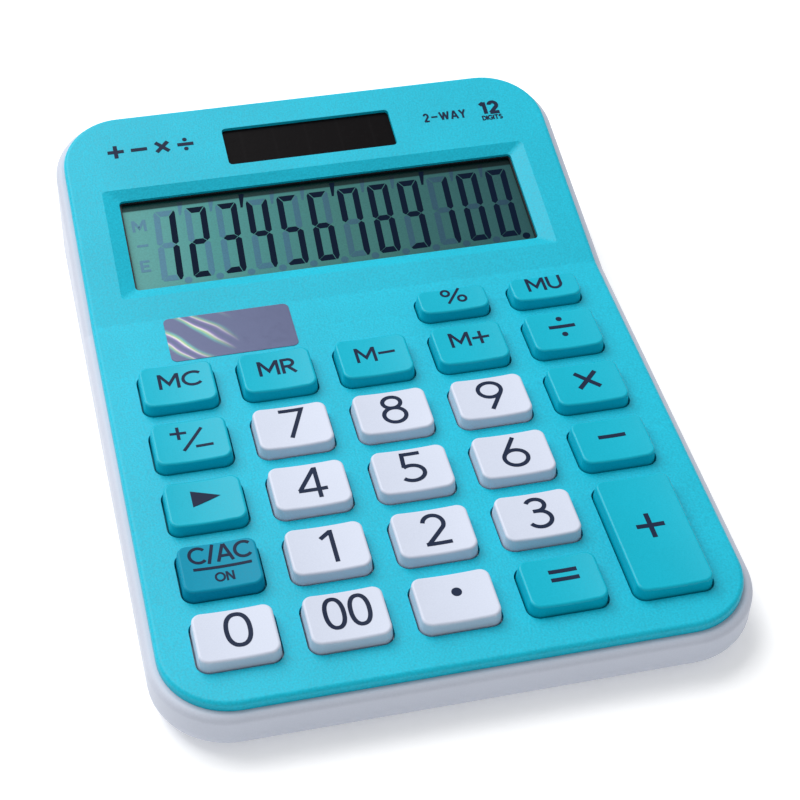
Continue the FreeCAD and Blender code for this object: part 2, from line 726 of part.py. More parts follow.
def make_key_mat():
    """Rubber sheet with a hollow dome under each key, cut out round the board posts."""
    top = -dim("board_top") + dim("mat_thick")
    bottom = -dim("board_top")
    width = dim("board_width") - 2 * dim("mat_margin")
    length = dim("board_front") + dim("mat_back")
    slab = Part.makeBox(width, length, dim("mat_thick"), Vector(-width / 2, -dim("board_front"), bottom))
    domes = []
    hollows = []
    wall = dim("dome_wall")
    below = bottom - dim("overshoot")
    tall = dim("mat_thick") + 2 * dim("overshoot")
    for x, y in dome_places():
        domes.append(cone_at(x, y, bottom, top + dim("dome_rise"), dim("dome_base"), dim("dome_crown")))
        hollows.append(cone_at(x, y, below, top + dim("dome_rise") - wall,
                               dim("dome_base") - wall, dim("dome_crown") - wall))
    for x, y in board_screw_places:
        centre = Vector(sheet_value(x), sheet_value(y), below)
        hollows.append(Part.makeCylinder(dim("board_post_radius") + dim("notch_gap"), tall, centre))
    for x, y in boss_places_in_deck():
        hollows.append(Part.makeCylinder(dim("boss_radius") + dim("post_embed"), tall, Vector(x, y, below)))
    mat = doc.addObject("Part::Feature", "key_mat")
    mat.Shape = slab.multiFuse(domes).cut(Part.makeCompound(hollows)).removeSplitter()
    return sub_part(mat, "key_mat", deck_frame)


def make_pills():
    """Conductive discs on the inner crowns of the domes."""
    crown = -dim("board_top") + dim("mat_thick") + dim("dome_rise") - dim("dome_wall")
    pills = []
    for index, (x, y) in enumerate(dome_places()):
        pill = doc.addObject("Part::Cylinder", "pill_%d" % index)
        pill.setExpression("Radius", "dims.pill_radius")
        pill.setExpression("Height", "dims.pill_thick")
        pill.Placement = Placement(Vector(x, y, crown - dim("pill_thick")), Rotation())
        pills.append(pill)
    return sub_part(group_of(pills, "pill_group"), "carbon_pills", deck_frame)


def group_of(members, name):
    """Compound of separate solids that share one node."""
    group = doc.addObject("Part::Compound", name)
    group.Links = members
    doc.recompute()
    return group


# ---------------------------------------------------------------- display
def plain_plate(name, width, height, corner, middle, depth, thick):
    """Flat rounded plate in the display frame, its front face at depth under the display face."""
    body = new_body(name)
    outline = new_sketch(body, name + "_outline", expressions=at_height("-(%s)" % depth))
    add_rectangle(outline, width, height, corner, middle)
    pad(body, name + "_plate", outline, thick, reverse=True)
    return body


def make_display_holder():
    """Black frame: low collar in the window, thin web under the cover, pocket for the glass, ribbon slot."""
    middle = ("0", "dims.window_middle")
    depth = "dims.plate + dims.fit_gap"
    deep = "dims.holder_web + 2 * dims.film_thick + 2 * dims.glass_thick + 2 * dims.fit_gap"
    body = plain_plate("display_holder", "dims.holder_width", "dims.holder_height", "dims.holder_corner",
                       middle, depth, deep)
    collar = new_sketch(body, "collar_outline", expressions=at_height("-(%s)" % depth))
    add_rectangle(collar, "dims.window_width - 2 * dims.fit_gap", "dims.window_height - 2 * dims.fit_gap",
                  "dims.window_corner - dims.fit_gap", middle)
    pad(body, "collar", collar, "dims.plate - dims.bezel_depth - dims.fit_gap - dims.collar_drop")
    opening = new_sketch(body, "collar_opening", expressions=at_height("-dims.bezel_depth"))
    add_rectangle(opening, "dims.window_width - 2 * dims.fit_gap - 2 * dims.collar_wall",
                  "dims.window_height - 2 * dims.fit_gap - 2 * dims.collar_wall",
                  "dims.window_corner - dims.fit_gap - dims.collar_wall", middle)
    pocket(body, "collar_hole", opening, "dims.cut_through")
    glass_seat = new_sketch(body, "glass_seat_outline",
                            expressions=at_height("-(%s) - dims.holder_web" % depth))
    add_rectangle(glass_seat, "dims.glass_width + 2 * dims.fit_gap", "dims.glass_height + 2 * dims.fit_gap",
                  "dims.seat_corner", middle)
    pocket(body, "glass_seat", glass_seat, "dims.cut_through")
    slot = new_sketch(body, "ribbon_slot_outline",
                      expressions=at_height("-(%s) - dims.holder_web - dims.film_thick" % depth))
    add_rectangle(slot, "dims.ribbon_width + 2 * dims.ribbon_slot_gap",
                  "dims.holder_height - dims.glass_height + dims.layer_gap", "dims.seat_corner",
                  ("0", "dims.window_middle - dims.holder_height / 2"))
    pocket(body, "ribbon_slot", slot, "dims.cut_through")
    return sub_part(body, "display_holder", display_frame)


def make_display_sandwich():
    """Film, two glasses and the reflector, front to back; the front glass has a bare ledge below."""
    ledge_middle = ("0", "dims.window_middle + dims.glass_ledge / 2")
    short_height = "dims.glass_height - dims.glass_ledge"
    front = "dims.plate + dims.fit_gap + dims.holder_web + dims.layer_gap"
    layers = [
        ("front_polariser", "dims.glass_height", ("0", "dims.window_middle"), "0", "dims.film_thick"),
        ("lcd_front_glass", "dims.glass_height", ("0", "dims.window_middle"), "dims.film_thick",
         "dims.glass_thick"),
        ("lcd_rear_glass", short_height, ledge_middle, "dims.film_thick + dims.glass_thick",
         "dims.glass_thick"),
        ("rear_reflector", short_height, ledge_middle, "dims.film_thick + 2 * dims.glass_thick",
         "dims.film_thick"),
    ]
    for name, height, middle, below, thick in layers:
        body = plain_plate(name, "dims.glass_width", height, "dims.glass_corner", middle,
                           front + " + " + below, thick)
        sub_part(body, name, display_frame)


def make_ribbon():
    """Thin foil from the glass ledge down to the board: two bonded flats joined by a slack curve."""
    width = dim("ribbon_width")
    thick = dim("ribbon_thick")
    glass_back = dim("plate") + dim("fit_gap") + dim("holder_web") + dim("film_thick") + dim("glass_thick")
    ledge_depth = glass_back + dim("layer_gap") + dim("hair_gap")
    ledge_front = dim("window_middle") - dim("glass_height") / 2
    in_deck = display_in_deck.multVec
    left = -width / 2
    bond_start = in_deck(Vector(left, ledge_front + 2.4, -ledge_depth - thick / 2))
    bond_end = in_deck(Vector(left, ledge_front + 0.9, -ledge_depth - thick / 2))
    board_level = -dim("board_top") + dim("hair_gap") + thick / 2
    pad_end = Vector(left, 45.2, board_level)
    pad_start = Vector(left, 42.4, board_level)
    drop = Vector(left, bond_end.y - 1.4, (bond_end.z + board_level) / 2)
    curve = Part.BSplineCurve()
    curve.interpolate([bond_end, drop, pad_start],
                      Tangents=[(bond_end - bond_start) * 3, Vector(0, -0.5, -2), (pad_end - pad_start) * 2],
                      TangentFlags=[True, False, True])
    edges = [Part.LineSegment(bond_start, bond_end).toShape(), curve.toShape(),
             Part.LineSegment(pad_start, pad_end).toShape()]
    strip = Part.Wire(edges).extrude(Vector(width, 0, 0))
    solid = strip.makeOffsetShape(thick / 2, 0.01, fill=True)
    ribbon = doc.addObject("Part::Feature", "heat_seal_ribbon")
    ribbon.Shape = solid
    return sub_part(ribbon, "heat_seal_ribbon", deck_frame)


# ---------------------------------------------------------------- solar cell and its leads
def make_solar_cell():
    """Glass cell in its seat and the foam strip that presses it there."""
    grown = "dims.solar_%s + 2 * dims.solar_margin"
    middle = ("dims.solar_x", "dims.solar_middle")
    cell = plain_plate("solar_cell", grown % "width", grown % "height", "dims.window_corner", middle,
                       "dims.solar_depth + dims.layer_gap", "dims.solar_thick")
    sub_part(cell, "solar_cell", display_frame)
    foam = plain_plate("solar_pad", "dims.foam_width", "dims.foam_height", "dims.seat_corner", middle,
                       "dims.solar_depth + 2 * dims.layer_gap + dims.solar_thick", "dims.foam_thick")
    sub_part(foam, "solar_pad", display_frame)


def round_path(points):
    """Straight runs joined by the largest tangent arcs that fit, as one wire."""
    edges = []
    start = points[0]
    for before, corner, after in zip(points, points[1:], points[2:]):
        into = (corner - before)
        out = (after - corner)
        turn = into.getAngle(out)
        shorter = min(into.Length, out.Length)
        reach = 0.45 * shorter
        print("lead bend radius %.2f mm" % (reach / math.tan(turn / 2)))
        into.normalize()
        out.normalize()
        arc_start = corner - into * reach
        arc_end = corner + out * reach
        radius = reach / math.tan(turn / 2)
        inward = (out - into)
        inward.normalize()
        arc_mid = corner + inward * (radius / math.cos(turn / 2) - radius)
        edges.append(Part.LineSegment(start, arc_start).toShape())
        edges.append(Part.Arc(arc_start, arc_mid, arc_end).toShape())
        start = arc_end
    edges.append(Part.LineSegment(start, points[-1]).toShape())
    return Part.Wire(edges)


def make_lead(name, x):
    """Insulated lead from the back of the solar cell to the back edge of the board."""
    radius = dim("lead_radius")
    cell_back = dim("solar_depth") + 2 * dim("layer_gap") + dim("solar_thick")
    in_deck = display_in_deck.multVec
    # off the cell, square to it, then forward and down to a pad at the back edge of the board
    points = [
        in_deck(Vector(x, dim("solar_middle") + 1, -cell_back)),
        in_deck(Vector(x, dim("solar_middle") + 1, -cell_back - 7)),
        Vector(x * 0.96, 66, -4.2),
        Vector(x * 0.92, 54, -4.4),
        Vector(x * 0.9, dim("board_back") - 0.7, -dim("board_top") + radius + dim("layer_gap")),
    ]
    path = round_path(points)
    profile = Part.Wire(Part.makeCircle(radius, points[0], points[1] - points[0]))
    tube = path.makePipeShell([profile], True, False)
    expected = math.pi * radius ** 2 * path.Length
    if abs(tube.Volume / expected - 1) > 0.02:
        raise RuntimeError("%s has the volume %.2f, not %.2f" % (name, tube.Volume, expected))
    lead = doc.addObject("Part::Feature", name)
    lead.Shape = tube
    print("%s is %.1f mm long" % (name, path.Length))
    return sub_part(lead, name, deck_frame)


# ---------------------------------------------------------------- parts on the board
def make_board_parts():
    """Chip blob, capacitor, cell and its contacts, all under the board."""
    under = -dim("board_top") - dim("board_thick") - dim("hair_gap")
    blob_radius, blob_height = dim("blob_radius"), dim("blob_height")
    ball = (blob_radius ** 2 + blob_height ** 2) / (2 * blob_height)
    sphere = Part.makeSphere(ball, Vector(dim("blob_x"), dim("blob_y"), under + ball - blob_height))
    span = 2 * ball
    below = Part.makeBox(span, span, span, Vector(dim("blob_x") - ball, dim("blob_y") - ball, under - span))
    blob = doc.addObject("Part::Feature", "chip_blob")
    blob.Shape = sphere.common(below)
    sub_part(blob, "chip_blob", deck_frame)

    can = doc.addObject("Part::Cylinder", "capacitor_can")
    can.setExpression("Radius", "dims.can_radius")
    can.setExpression("Height", "dims.can_height")
    can_edge = doc.addObject("Part::Fillet", "capacitor_edge")
    can_edge.Base = can
    doc.recompute()
    can_edge.Edges = [(edge, dim("can_edge"), dim("can_edge")) for edge in (1, 3)]
    can_place = Placement(Vector(dim("can_x"), dim("can_y"), under - dim("can_height")), Rotation())
    sub_part(can_edge, "capacitor", deck_frame.multiply(can_place))

    sheet_thick = dim("spring_sheet")
    cell_top = under - sheet_thick - dim("layer_gap")
    cell = new_body("button_cell")
    outline = new_sketch(cell, "cell_outline")
    circle = outline.addGeometry(Part.Circle(Vector(0, 0, 0), Vector(0, 0, 1), dim("cell_radius")))
    outline.addConstraint(Sketcher.Constraint("Coincident", circle, 3, -1, 1))
    bind(outline, Sketcher.Constraint("Radius", circle, dim("cell_radius")), "dims.cell_radius")
    pad(cell, "cell_can", outline, "dims.cell_thick", reverse=True)
    fillet(cell, "cell_edges", lambda edge: True, "dims.cell_edge")
    cell_x, cell_y = dim("cell_x"), dim("cell_y")
    cell_place = Placement(Vector(cell_x, cell_y, cell_top), Rotation())
    sub_part(cell, "button_cell", deck_frame.multiply(cell_place))

    leaf_corner = Vector(cell_x - dim("leaf_width") / 2, cell_y - dim("leaf_front"), under - sheet_thick)
    leaf = Part.makeBox(dim("leaf_width"), dim("leaf_length"), sheet_thick, leaf_corner)
    negative = doc.addObject("Part::Feature", "cell_contact_negative")
    negative.Shape = leaf
    sub_part(negative, "cell_contact_negative", deck_frame)

    reach = dim("cell_radius") + 2 * dim("fit_gap")
    cell_bottom = cell_top - dim("cell_thick") - dim("layer_gap")
    clip_width = dim("clip_width")
    clip_corner = Vector(cell_x - reach - sheet_thick, cell_y - clip_width / 2, cell_bottom - sheet_thick)
    wall = Part.makeBox(sheet_thick, clip_width, under - cell_bottom + sheet_thick, clip_corner)
    foot = Part.makeBox(reach + sheet_thick + dim("clip_reach"), clip_width, sheet_thick, clip_corner)
    positive = doc.addObject("Part::Feature", "cell_clip_positive")
    positive.Shape = wall.fuse(foot).removeSplitter()
    sub_part(positive, "cell_clip_positive", deck_frame)


# ---------------------------------------------------------------- screws, feet and sticker
SLOT_WIDTH_SHARE = 0.25
SLOT_LENGTH_SHARE = 1.3
SLOT_DEPTH_SHARE = 0.55


def make_screw(name, radius, length, head_radius, head_thick, place):
    """Pan-head screw with a cross recess, pointing up from place, where the head meets the shelf."""
    head = doc.addObject("Part::Cylinder", name + "_head")
    head.setExpression("Radius", head_radius)
    head.setExpression("Height", head_thick)
    head.Placement = Placement(Vector(0, 0, -sheet_value(head_thick)), Rotation())
    shaft = doc.addObject("Part::Cylinder", name + "_shaft")
    shaft.setExpression("Radius", radius)
    shaft.setExpression("Height", length)
    whole = doc.addObject("Part::Fuse", name + "_whole")
    whole.Base = head
    whole.Tool = shaft
    slots = []
    slot_width = SLOT_WIDTH_SHARE * sheet_value(head_radius)
    slot_length = SLOT_LENGTH_SHARE * sheet_value(head_radius)
    for turn, (size_x, size_y) in enumerate(((slot_length, slot_width), (slot_width, slot_length))):
        slot = doc.addObject("Part::Box", "%s_slot_%d" % (name, turn))
        slot.Length = size_x
        slot.Width = size_y
        slot.Height = SLOT_DEPTH_SHARE * sheet_value(head_thick)
        slot.Placement = Placement(Vector(-size_x / 2, -size_y / 2, -sheet_value(head_thick)), Rotation())
        slots.append(slot)
    cross = doc.addObject("Part::Fuse", name + "_cross")
    cross.Base, cross.Tool = slots
    screw = doc.addObject("Part::Cut", name)
    screw.Base = whole
    screw.Tool = cross
    screw.Placement = place
    return screw


def make_screws():
    """Case screws stand square to the table, board screws square to the board."""
    members = []
    for index, (x, y, end) in enumerate(case_screw_places):
        shelf = sheet_value(end) - dim("screw_shelf")
        place = Placement(Vector(x, y, shelf - dim("hair_gap")), Rotation())
        members.append(make_screw("case_screw_%d" % index, "dims.screw_radius", "dims.screw_length",
                                  "dims.head_radius", "dims.head_thick", place))
    sub_part(group_of(members, "case_screw_group"), "case_screws")
    members = []
    for index, (x, y) in enumerate(board_screw_places):
        under = -dim("board_top") - dim("board_thick") - dim("hair_gap")
        place = Placement(Vector(sheet_value(x), sheet_value(y), under), Rotation())
        members.append(make_screw("board_screw_%d" % index, "dims.board_screw_radius",
                                  "dims.board_screw_length", "dims.board_head_radius",
                                  "dims.board_head_thick", place))
    sub_part(group_of(members, "board_screw_group"), "board_screws", deck_frame)


def make_feet():
    """Four rubber feet let into the underside; they are what the calculator stands on."""
    members = []
    for index, (x, y) in enumerate(foot_places()):
        disc = doc.addObject("Part::Cylinder", "foot_disc_%d" % index)
        disc.setExpression("Radius", "dims.foot_radius")
        disc.setExpression("Height", "dims.foot_thick - dims.hair_gap")
        doc.recompute()
        foot = doc.addObject("Part::Fillet", "foot_%d" % index)
        foot.Base = disc
        foot.Edges = [(3, dim("foot_edge"), dim("foot_edge"))]
        foot.Placement = Placement(Vector(x, y, 0), Rotation())
        members.append(foot)
    sub_part(group_of(members, "foot_group"), "rubber_feet")


def make_sticker():
    """Thin foil label on the face, left of the short keys."""
    body = new_body("foil_sticker")
    outline = new_sketch(body, "sticker_outline", expressions=at_height("dims.hair_gap"))
    add_rectangle(outline, "dims.sticker_width", "dims.sticker_height", "dims.sticker_corner",
                  ("dims.sticker_x", "dims.sticker_y"))
    pad(body, "sticker_foil", outline, "dims.sticker_thick")
    return sub_part(body, "foil_sticker", deck_frame)


make_top_cover()
make_rear_case()
for key in keys:
    make_key(*key)
make_board()
make_key_mat()
make_pills()
make_display_holder()
make_display_sandwich()
make_ribbon()
make_solar_cell()
make_lead("solar_lead_red", dim("lead_x_red"))
make_lead("solar_lead_black", dim("lead_x_black"))
make_board_parts()
make_screws()
make_feet()
make_sticker()
doc.recompute()

# ---------------------------------------------------------------- checks and export
for item in doc.Objects:
    if "Invalid" in item.State or "Error" in item.State:
        raise RuntimeError("%s is %s" % (item.Name, item.State))
for part in sub_parts:
    if part.Shape.isNull() or not part.Shape.isValid():
        raise RuntimeError("%s has a bad shape" % part.Label)

os.makedirs("parts", exist_ok=True)
for part in sub_parts:
    part.Shape.exportStep("parts/%s.step" % part.Label)
    print("%-24s %2d solid(s) %10.2f mm3" % (part.Label, len(part.Shape.Solids), part.Shape.Volume))
print("%d sub-parts" % len(sub_parts))
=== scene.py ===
# %% [markdown]
# # A desk calculator, finished piece by piece
#
# The solids of this calculator come ready made: the cover, the case, twenty-six keys, the
# display and what is inside. This lesson adds what a solid model doesn't carry: the ink
# on the keys, the figures in the liquid crystal, the marks on the cover, and the finish of every
# surface. Each step first says what the thing is on a real calculator and then how it is made here.

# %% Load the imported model
import math

import bpy
import numpy as np
from mathutils import Matrix, Vector


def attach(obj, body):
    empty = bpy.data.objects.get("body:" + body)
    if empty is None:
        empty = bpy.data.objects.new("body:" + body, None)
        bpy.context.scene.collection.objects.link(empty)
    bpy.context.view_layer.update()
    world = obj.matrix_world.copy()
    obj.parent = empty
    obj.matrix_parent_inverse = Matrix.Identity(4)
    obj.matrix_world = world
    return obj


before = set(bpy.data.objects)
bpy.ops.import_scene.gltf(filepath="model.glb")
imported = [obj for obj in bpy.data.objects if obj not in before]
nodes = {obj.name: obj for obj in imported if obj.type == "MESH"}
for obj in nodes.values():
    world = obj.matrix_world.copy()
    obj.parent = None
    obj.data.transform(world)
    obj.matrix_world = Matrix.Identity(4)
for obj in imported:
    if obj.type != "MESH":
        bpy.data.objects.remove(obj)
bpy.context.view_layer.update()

# %% [markdown]
# ## Two tilted sheets
#
# Almost everything on a calculator lies on one of two flat sheets: the key deck, which rises gently
# towards the back, and the display face, which is bent up from it. Working in millimetres on such a
# sheet is far easier than in metres in the room, so each sheet gets a matrix that carries its own
# millimetres to the room. X runs to the right, Y up the sheet and Z out of it.

# %% The matrices of the key deck and of the display face
MM = 0.001
DECK = (
    Matrix.Translation((0.0, -15.2 * MM, 13.83 * MM))
    @ Matrix.Rotation(math.radians(2.8), 4, "X")
    @ Matrix.Scale(MM, 4)
)
CREASE = 35.8
DISPLAY = DECK @ Matrix.Translation((0.0, CREASE, 0.0)) @ Matrix.Rotation(math.radians(11.5), 4, "X")


def points_on(place, points):
    """Carries rows of (x, y, z) through a matrix: each row becomes the matrix times the row."""
    matrix = np.array(place)
    return np.asarray(points, float) @ matrix[:3, :3].T + matrix[:3, 3]


def box_on(place, node):
    """Lowest and highest corner of a solid, measured along the axes of a tilted sheet."""
    vertices = nodes[node].data.vertices
    room = np.empty(len(vertices) * 3)
    vertices.foreach_get("co", room)
    flat = points_on(place.inverted(), room.reshape(-1, 3))
    return flat.min(axis=0), flat.max(axis=0)


print("key 5 on the deck, mm:", [corner.round(2).tolist() for corner in box_on(DECK, "key_5")])
print("polariser on the display face, mm:",
      [corner.round(2).tolist() for corner in box_on(DISPLAY, "front_polariser")])

# %% [markdown]
# ## Pen strokes
#
# Key legends are printed with a flat rubber pad, so they are thin films of ink. A letter made of an
# even pen line is a bar with a rectangular section carried along a path. At a corner of the path
# the bar has to keep its width, so its side points move out along the mitre, the line
# that halves the corner. A filled spot or a triangle is a thin plate with the shape as its outline.

# %% Bars along a path and plates with an outline
INK_LOW = -0.05
INK_HIGH = 0.045
SIDES = np.array([-1.0, 1.0, 1.0, -1.0])


def closely_spaced(path, closed, step=0.3):
    """Points added between the given ones, so that no two are further apart than step.

    New point = point at that share of the whole length, found by interpolation on x and on y."""
    path = np.vstack([path, path[:1]]) if closed else np.asarray(path, float)
    along = np.concatenate([[0.0], np.cumsum(np.hypot(*np.diff(path, axis=0).T))])
    even = np.linspace(0.0, along[-1], int(along[-1] / step) + 2)
    marks = np.unique(np.concatenate([along, even]).round(6))
    marks = marks[np.concatenate([[True], np.diff(marks) > step / 20])]
    marks = marks[:-1] if closed else marks
    return np.column_stack([np.interp(marks, along, path[:, 0]), np.interp(marks, along, path[:, 1])])


def pen_bar(path, pen, closed=False, low=INK_LOW, high=INK_HIGH):
    """Points (step i, corner j) and faces of a bar with a rectangular section along a flat path.

    point(i, j) = path(i) + side(j) * pen / 2 * mitre(i), at height low or high, where
    mitre = (n1 + n2) / (1 + n1 . n2) and n1, n2 are the left-hand normals before and after the point."""
    path = closely_spaced(path, closed)
    count = len(path)
    runs = np.roll(path, -1, axis=0) - path
    if not closed:
        runs[-1] = runs[-2]
    runs /= np.hypot(*runs.T)[:, None]
    after = np.column_stack([-runs[:, 1], runs[:, 0]])
    before = np.roll(after, 1, axis=0)
    if not closed:
        before[0] = after[0]
    mitre = (before + after) / (1.0 + np.sum(before * after, axis=1))[:, None]
    flat = path[:, None, :] + SIDES[None, :, None] * mitre[:, None, :] * pen / 2
    levels = np.broadcast_to([low, low, high, high], (count, 4))
    points = np.dstack([flat, levels]).reshape(-1, 3)
    steps = np.arange(count if closed else count - 1)[:, None]
    corner = np.arange(4)[None, :]
    ahead = (steps + 1) % count
    faces = np.stack([4 * steps + corner, 4 * steps + (corner + 1) % 4,
                      4 * ahead + (corner + 1) % 4, 4 * ahead + corner], axis=-1).reshape(-1, 4).tolist()
    if not closed:
        faces += [[3, 2, 1, 0], [4 * count - 4, 4 * count - 3, 4 * count - 2, 4 * count - 1]]
    return points, faces


def plate(outline, low=INK_LOW, high=INK_HIGH):
    """Points and faces of a thin plate: point(i, level) = outline(i) at the low or the high level.

    The outline runs anticlockwise seen from above."""
    outline = np.asarray(outline, float)
    count = len(outline)
    points = np.vstack([np.column_stack([outline, np.full(count, level)]) for level in (low, high)])
    i = np.arange(count)
    ahead = (i + 1) % count
    walls = np.column_stack([i, ahead, ahead + count, i + count]).tolist()
    return points, walls + [i[::-1].tolist(), (i + count).tolist()]


def arc(x, y, across, up, start, end, count=40):
    """Part of an ellipse: (x + across * cos t, y + up * sin t), with t from start to end in degrees."""
    turn = np.radians(np.linspace(start, end, count))
    return np.column_stack([x + across * np.cos(turn), y + up * np.sin(turn)])


def oval(x, y, across, up, power=2.3, count=72):
    """A closed superellipse: (x + across * c, y + up * s).

    c and s are cos t and sin t raised to 2 / power, with their signs kept."""
    turn = np.linspace(0.0, 2 * np.pi, count, endpoint=False)
    cosine, sine = np.cos(turn), np.sin(turn)
    return np.column_stack([x + across * np.sign(cosine) * np.abs(cosine) ** (2 / power),
                            y + up * np.sign(sine) * np.abs(sine) ** (2 / power)])


def spot(x, y, radius):
    """A plain round outline."""
    return arc(x, y, radius, radius, 0, 350, 36)


sample_points, sample_faces = pen_bar([(0, 0), (4, 0), (4, 3)], 0.8)
print("a bent bar has", len(sample_points), "points and", len(sample_faces), "faces")

# %% [markdown]
# ## An alphabet for the keys
#
# The numerals and letters are a plain humanist hand: round bowls, straight stems, flat pen ends
# and the same line width throughout. Each one is a short list of paths down the middle of the pen
# line. Numerals are drawn 7.3 mm tall, as they are on the keys, and letters 4 mm tall. A path
# marked "ring" closes on itself, "line" stays open and "fill" is an outline to be filled.

# %% The numerals
NUMERAL_TALL = 7.3
NUMERALS = {
    "0": [("ring", oval(2.4, 3.65, 2.0, 3.25))],
    "1": [("line", [(0.3, 5.55), (2.25, 7.0)]), ("line", [(2.3, 0.0), (2.3, 7.3)])],
    "2": [("line", np.vstack([arc(2.35, 5.0, 1.85, 1.9, 168, -32), [(0.5, 0.35)]])),
          ("line", [(0.1, 0.4), (4.75, 0.4)])],
    "3": [("line", np.vstack([arc(2.3, 5.5, 1.68, 1.4, 155, -78), [(1.55, 4.1)]])),
          ("line", np.vstack([[(1.9, 4.12)], arc(2.35, 2.25, 2.1, 1.85, 78, -152)]))],
    "4": [("line", [(3.75, 7.1), (0.35, 2.05)]), ("line", [(0.1, 2.0), (5.4, 2.0)]),
          ("line", [(3.85, 0.0), (3.85, 7.3)])],
    "5": [("line", [(0.8, 6.9), (4.4, 6.9)]), ("line", [(1.1, 7.3), (0.85, 3.75)]),
          ("line", np.vstack([[(0.75, 3.7)], arc(2.1, 2.25, 2.25, 1.85, 118, -142)]))],
    "6": [("ring", arc(2.6, 2.3, 2.2, 1.9, 0, 350, 60)), ("line", [(3.2, 7.3), (0.62, 3.15)])],
    "7": [("line", [(0.0, 6.9), (4.3, 6.9), (1.35, 0.0)])],
    "8": [("ring", arc(2.45, 5.5, 1.7, 1.42, 0, 350, 60)),
          ("ring", arc(2.45, 2.25, 2.07, 1.85, 0, 350, 60))],
    "9": [("ring", arc(2.6, 5.0, 2.2, 1.9, 0, 350, 60)), ("line", [(2.0, 0.0), (4.58, 4.15)])],
}
print("numerals:", " ".join(NUMERALS))

# %% [markdown]
# ## Letters and signs
#
# The letters follow the same rules as the numerals. Only the ones that the keys and the cover need are
# drawn. A round letter is part of an ellipse, and a straight one is two or three separate pen lines, so
# that sharp corners such as those of the W don't need a long mitre.

# %% The letters
LETTER_TALL = 4.0
LETTERS = {
    "A": [("line", [(0.25, 0.0), (1.8, 4.0)]), ("line", [(1.95, 4.0), (3.5, 0.0)]),
          ("line", [(0.8, 1.25), (2.95, 1.25)])],
    "C": [("line", arc(2.2, 2.0, 1.9, 1.72, 44, 316))],
    "D": [("line", [(0.31, 0.0), (0.31, 4.0)]),
          ("line", np.vstack([[(0.31, 3.69)], arc(1.3, 2.0, 1.75, 1.69, 90, -90), [(0.31, 0.31)]]))],
    "G": [("line", np.vstack([arc(2.2, 2.0, 1.9, 1.72, 44, 335), [(3.9, 1.95), (2.4, 1.95)]]))],
    "I": [("line", [(0.31, 0.0), (0.31, 4.0)])],
    "M": [("line", [(0.31, 0.0), (0.31, 4.0)]), ("line", [(3.79, 0.0), (3.79, 4.0)]),
          ("line", [(0.42, 3.8), (2.05, 1.2), (3.68, 3.8)])],
    "N": [("line", [(0.31, 0.0), (0.31, 4.0)]), ("line", [(2.9, 0.0), (2.9, 4.0)]),
          ("line", [(0.4, 3.8), (2.81, 0.2)])],
    "O": [("ring", arc(2.1, 2.0, 1.8, 1.72, 0, 350, 48))],
    "R": [("line", [(0.31, 0.0), (0.31, 4.0)]),
          ("line", np.vstack([[(0.31, 3.69)], arc(1.45, 2.78, 0.95, 0.91, 90, -90), [(0.31, 1.87)]])),
          ("line", [(1.25, 1.87), (2.65, 0.0)])],
    "S": [("line", np.vstack([arc(1.4, 2.95, 1.05, 0.78, 30, 250), arc(1.4, 1.12, 1.1, 0.85, 80, -150)]))],
    "T": [("line", [(0.0, 3.69), (3.0, 3.69)]), ("line", [(1.5, 0.0), (1.5, 3.69)])],
    "U": [("line", np.vstack([[(0.31, 4.0)], arc(1.6, 1.6, 1.29, 1.29, 180, 360), [(2.89, 4.0)]]))],
    "W": [("line", [(0.2, 4.0), (1.4, 0.2)]), ("line", [(1.4, 0.2), (2.5, 3.8)]),
          ("line", [(2.5, 3.8), (3.6, 0.2)]), ("line", [(3.6, 0.2), (4.8, 4.0)])],
    "Y": [("line", [(0.2, 4.0), (1.6, 1.9)]), ("line", [(3.0, 4.0), (1.6, 1.9)]),
          ("line", [(1.6, 2.0), (1.6, 0.0)])],
    "/": [("line", [(0.1, -0.2), (1.5, 4.2)])],
    "+": [("line", [(0.0, 1.95), (3.4, 1.95)]), ("line", [(1.7, 0.2), (1.7, 3.7)])],
    "-": [("line", [(0.0, 2.0), (3.3, 2.0)])],
    "%": [("ring", arc(1.0, 2.95, 0.75, 0.78, 0, 350, 36)),
          ("ring", arc(3.95, 1.05, 0.75, 0.78, 0, 350, 36)),
          ("line", [(1.05, 0.0), (3.9, 4.0)])],
}
print("letters and signs:", " ".join(LETTERS))

# %% [markdown]
# ## Setting a word
#
# A word is set as a printer would: sign after sign, each starting where the last one ends plus a
# small gap, and then the whole word is moved so that its middle is where it should be.

# %% Words, set from the alphabet
def scaled(strokes, wide, tall, right=0.0, up=0.0):
    """Every path point (x, y) becomes (x * wide + right, y * tall + up)."""
    return [(kind, np.asarray(path, float) * (wide, tall) + (right, up)) for kind, path in strokes]


def extent(strokes):
    """Lowest and highest corner of a list of paths."""
    everything = np.vstack([path for _, path in strokes])
    return everything.min(axis=0), everything.max(axis=0)


def lettering(text, tall, x, y, gap=0.55, squeeze=1.0):
    """A word as a list of paths, tall millimetres high, with its middle at (x, y).

    Each sign starts where the one before it ends, plus the gap and half a pen line."""
    strokes = []
    reach = 0.0
    for sign in text:
        numeral = sign in NUMERALS
        scale = tall / (NUMERAL_TALL if numeral else LETTER_TALL)
        shape = scaled(NUMERALS[sign] if numeral else LETTERS[sign], scale * squeeze, scale)
        low, high = extent(shape)
        strokes += scaled(shape, 1, 1, reach - low[0])
        reach += high[0] - low[0] + gap + 0.12 * tall
    low, high = extent(strokes)
    return scaled(strokes, 1, 1, x - (low[0] + high[0]) / 2, y - tall / 2)


print("M C takes", np.round(extent(lettering("MC", 3.9, 0, 0))[1] * 2, 2), "mm")

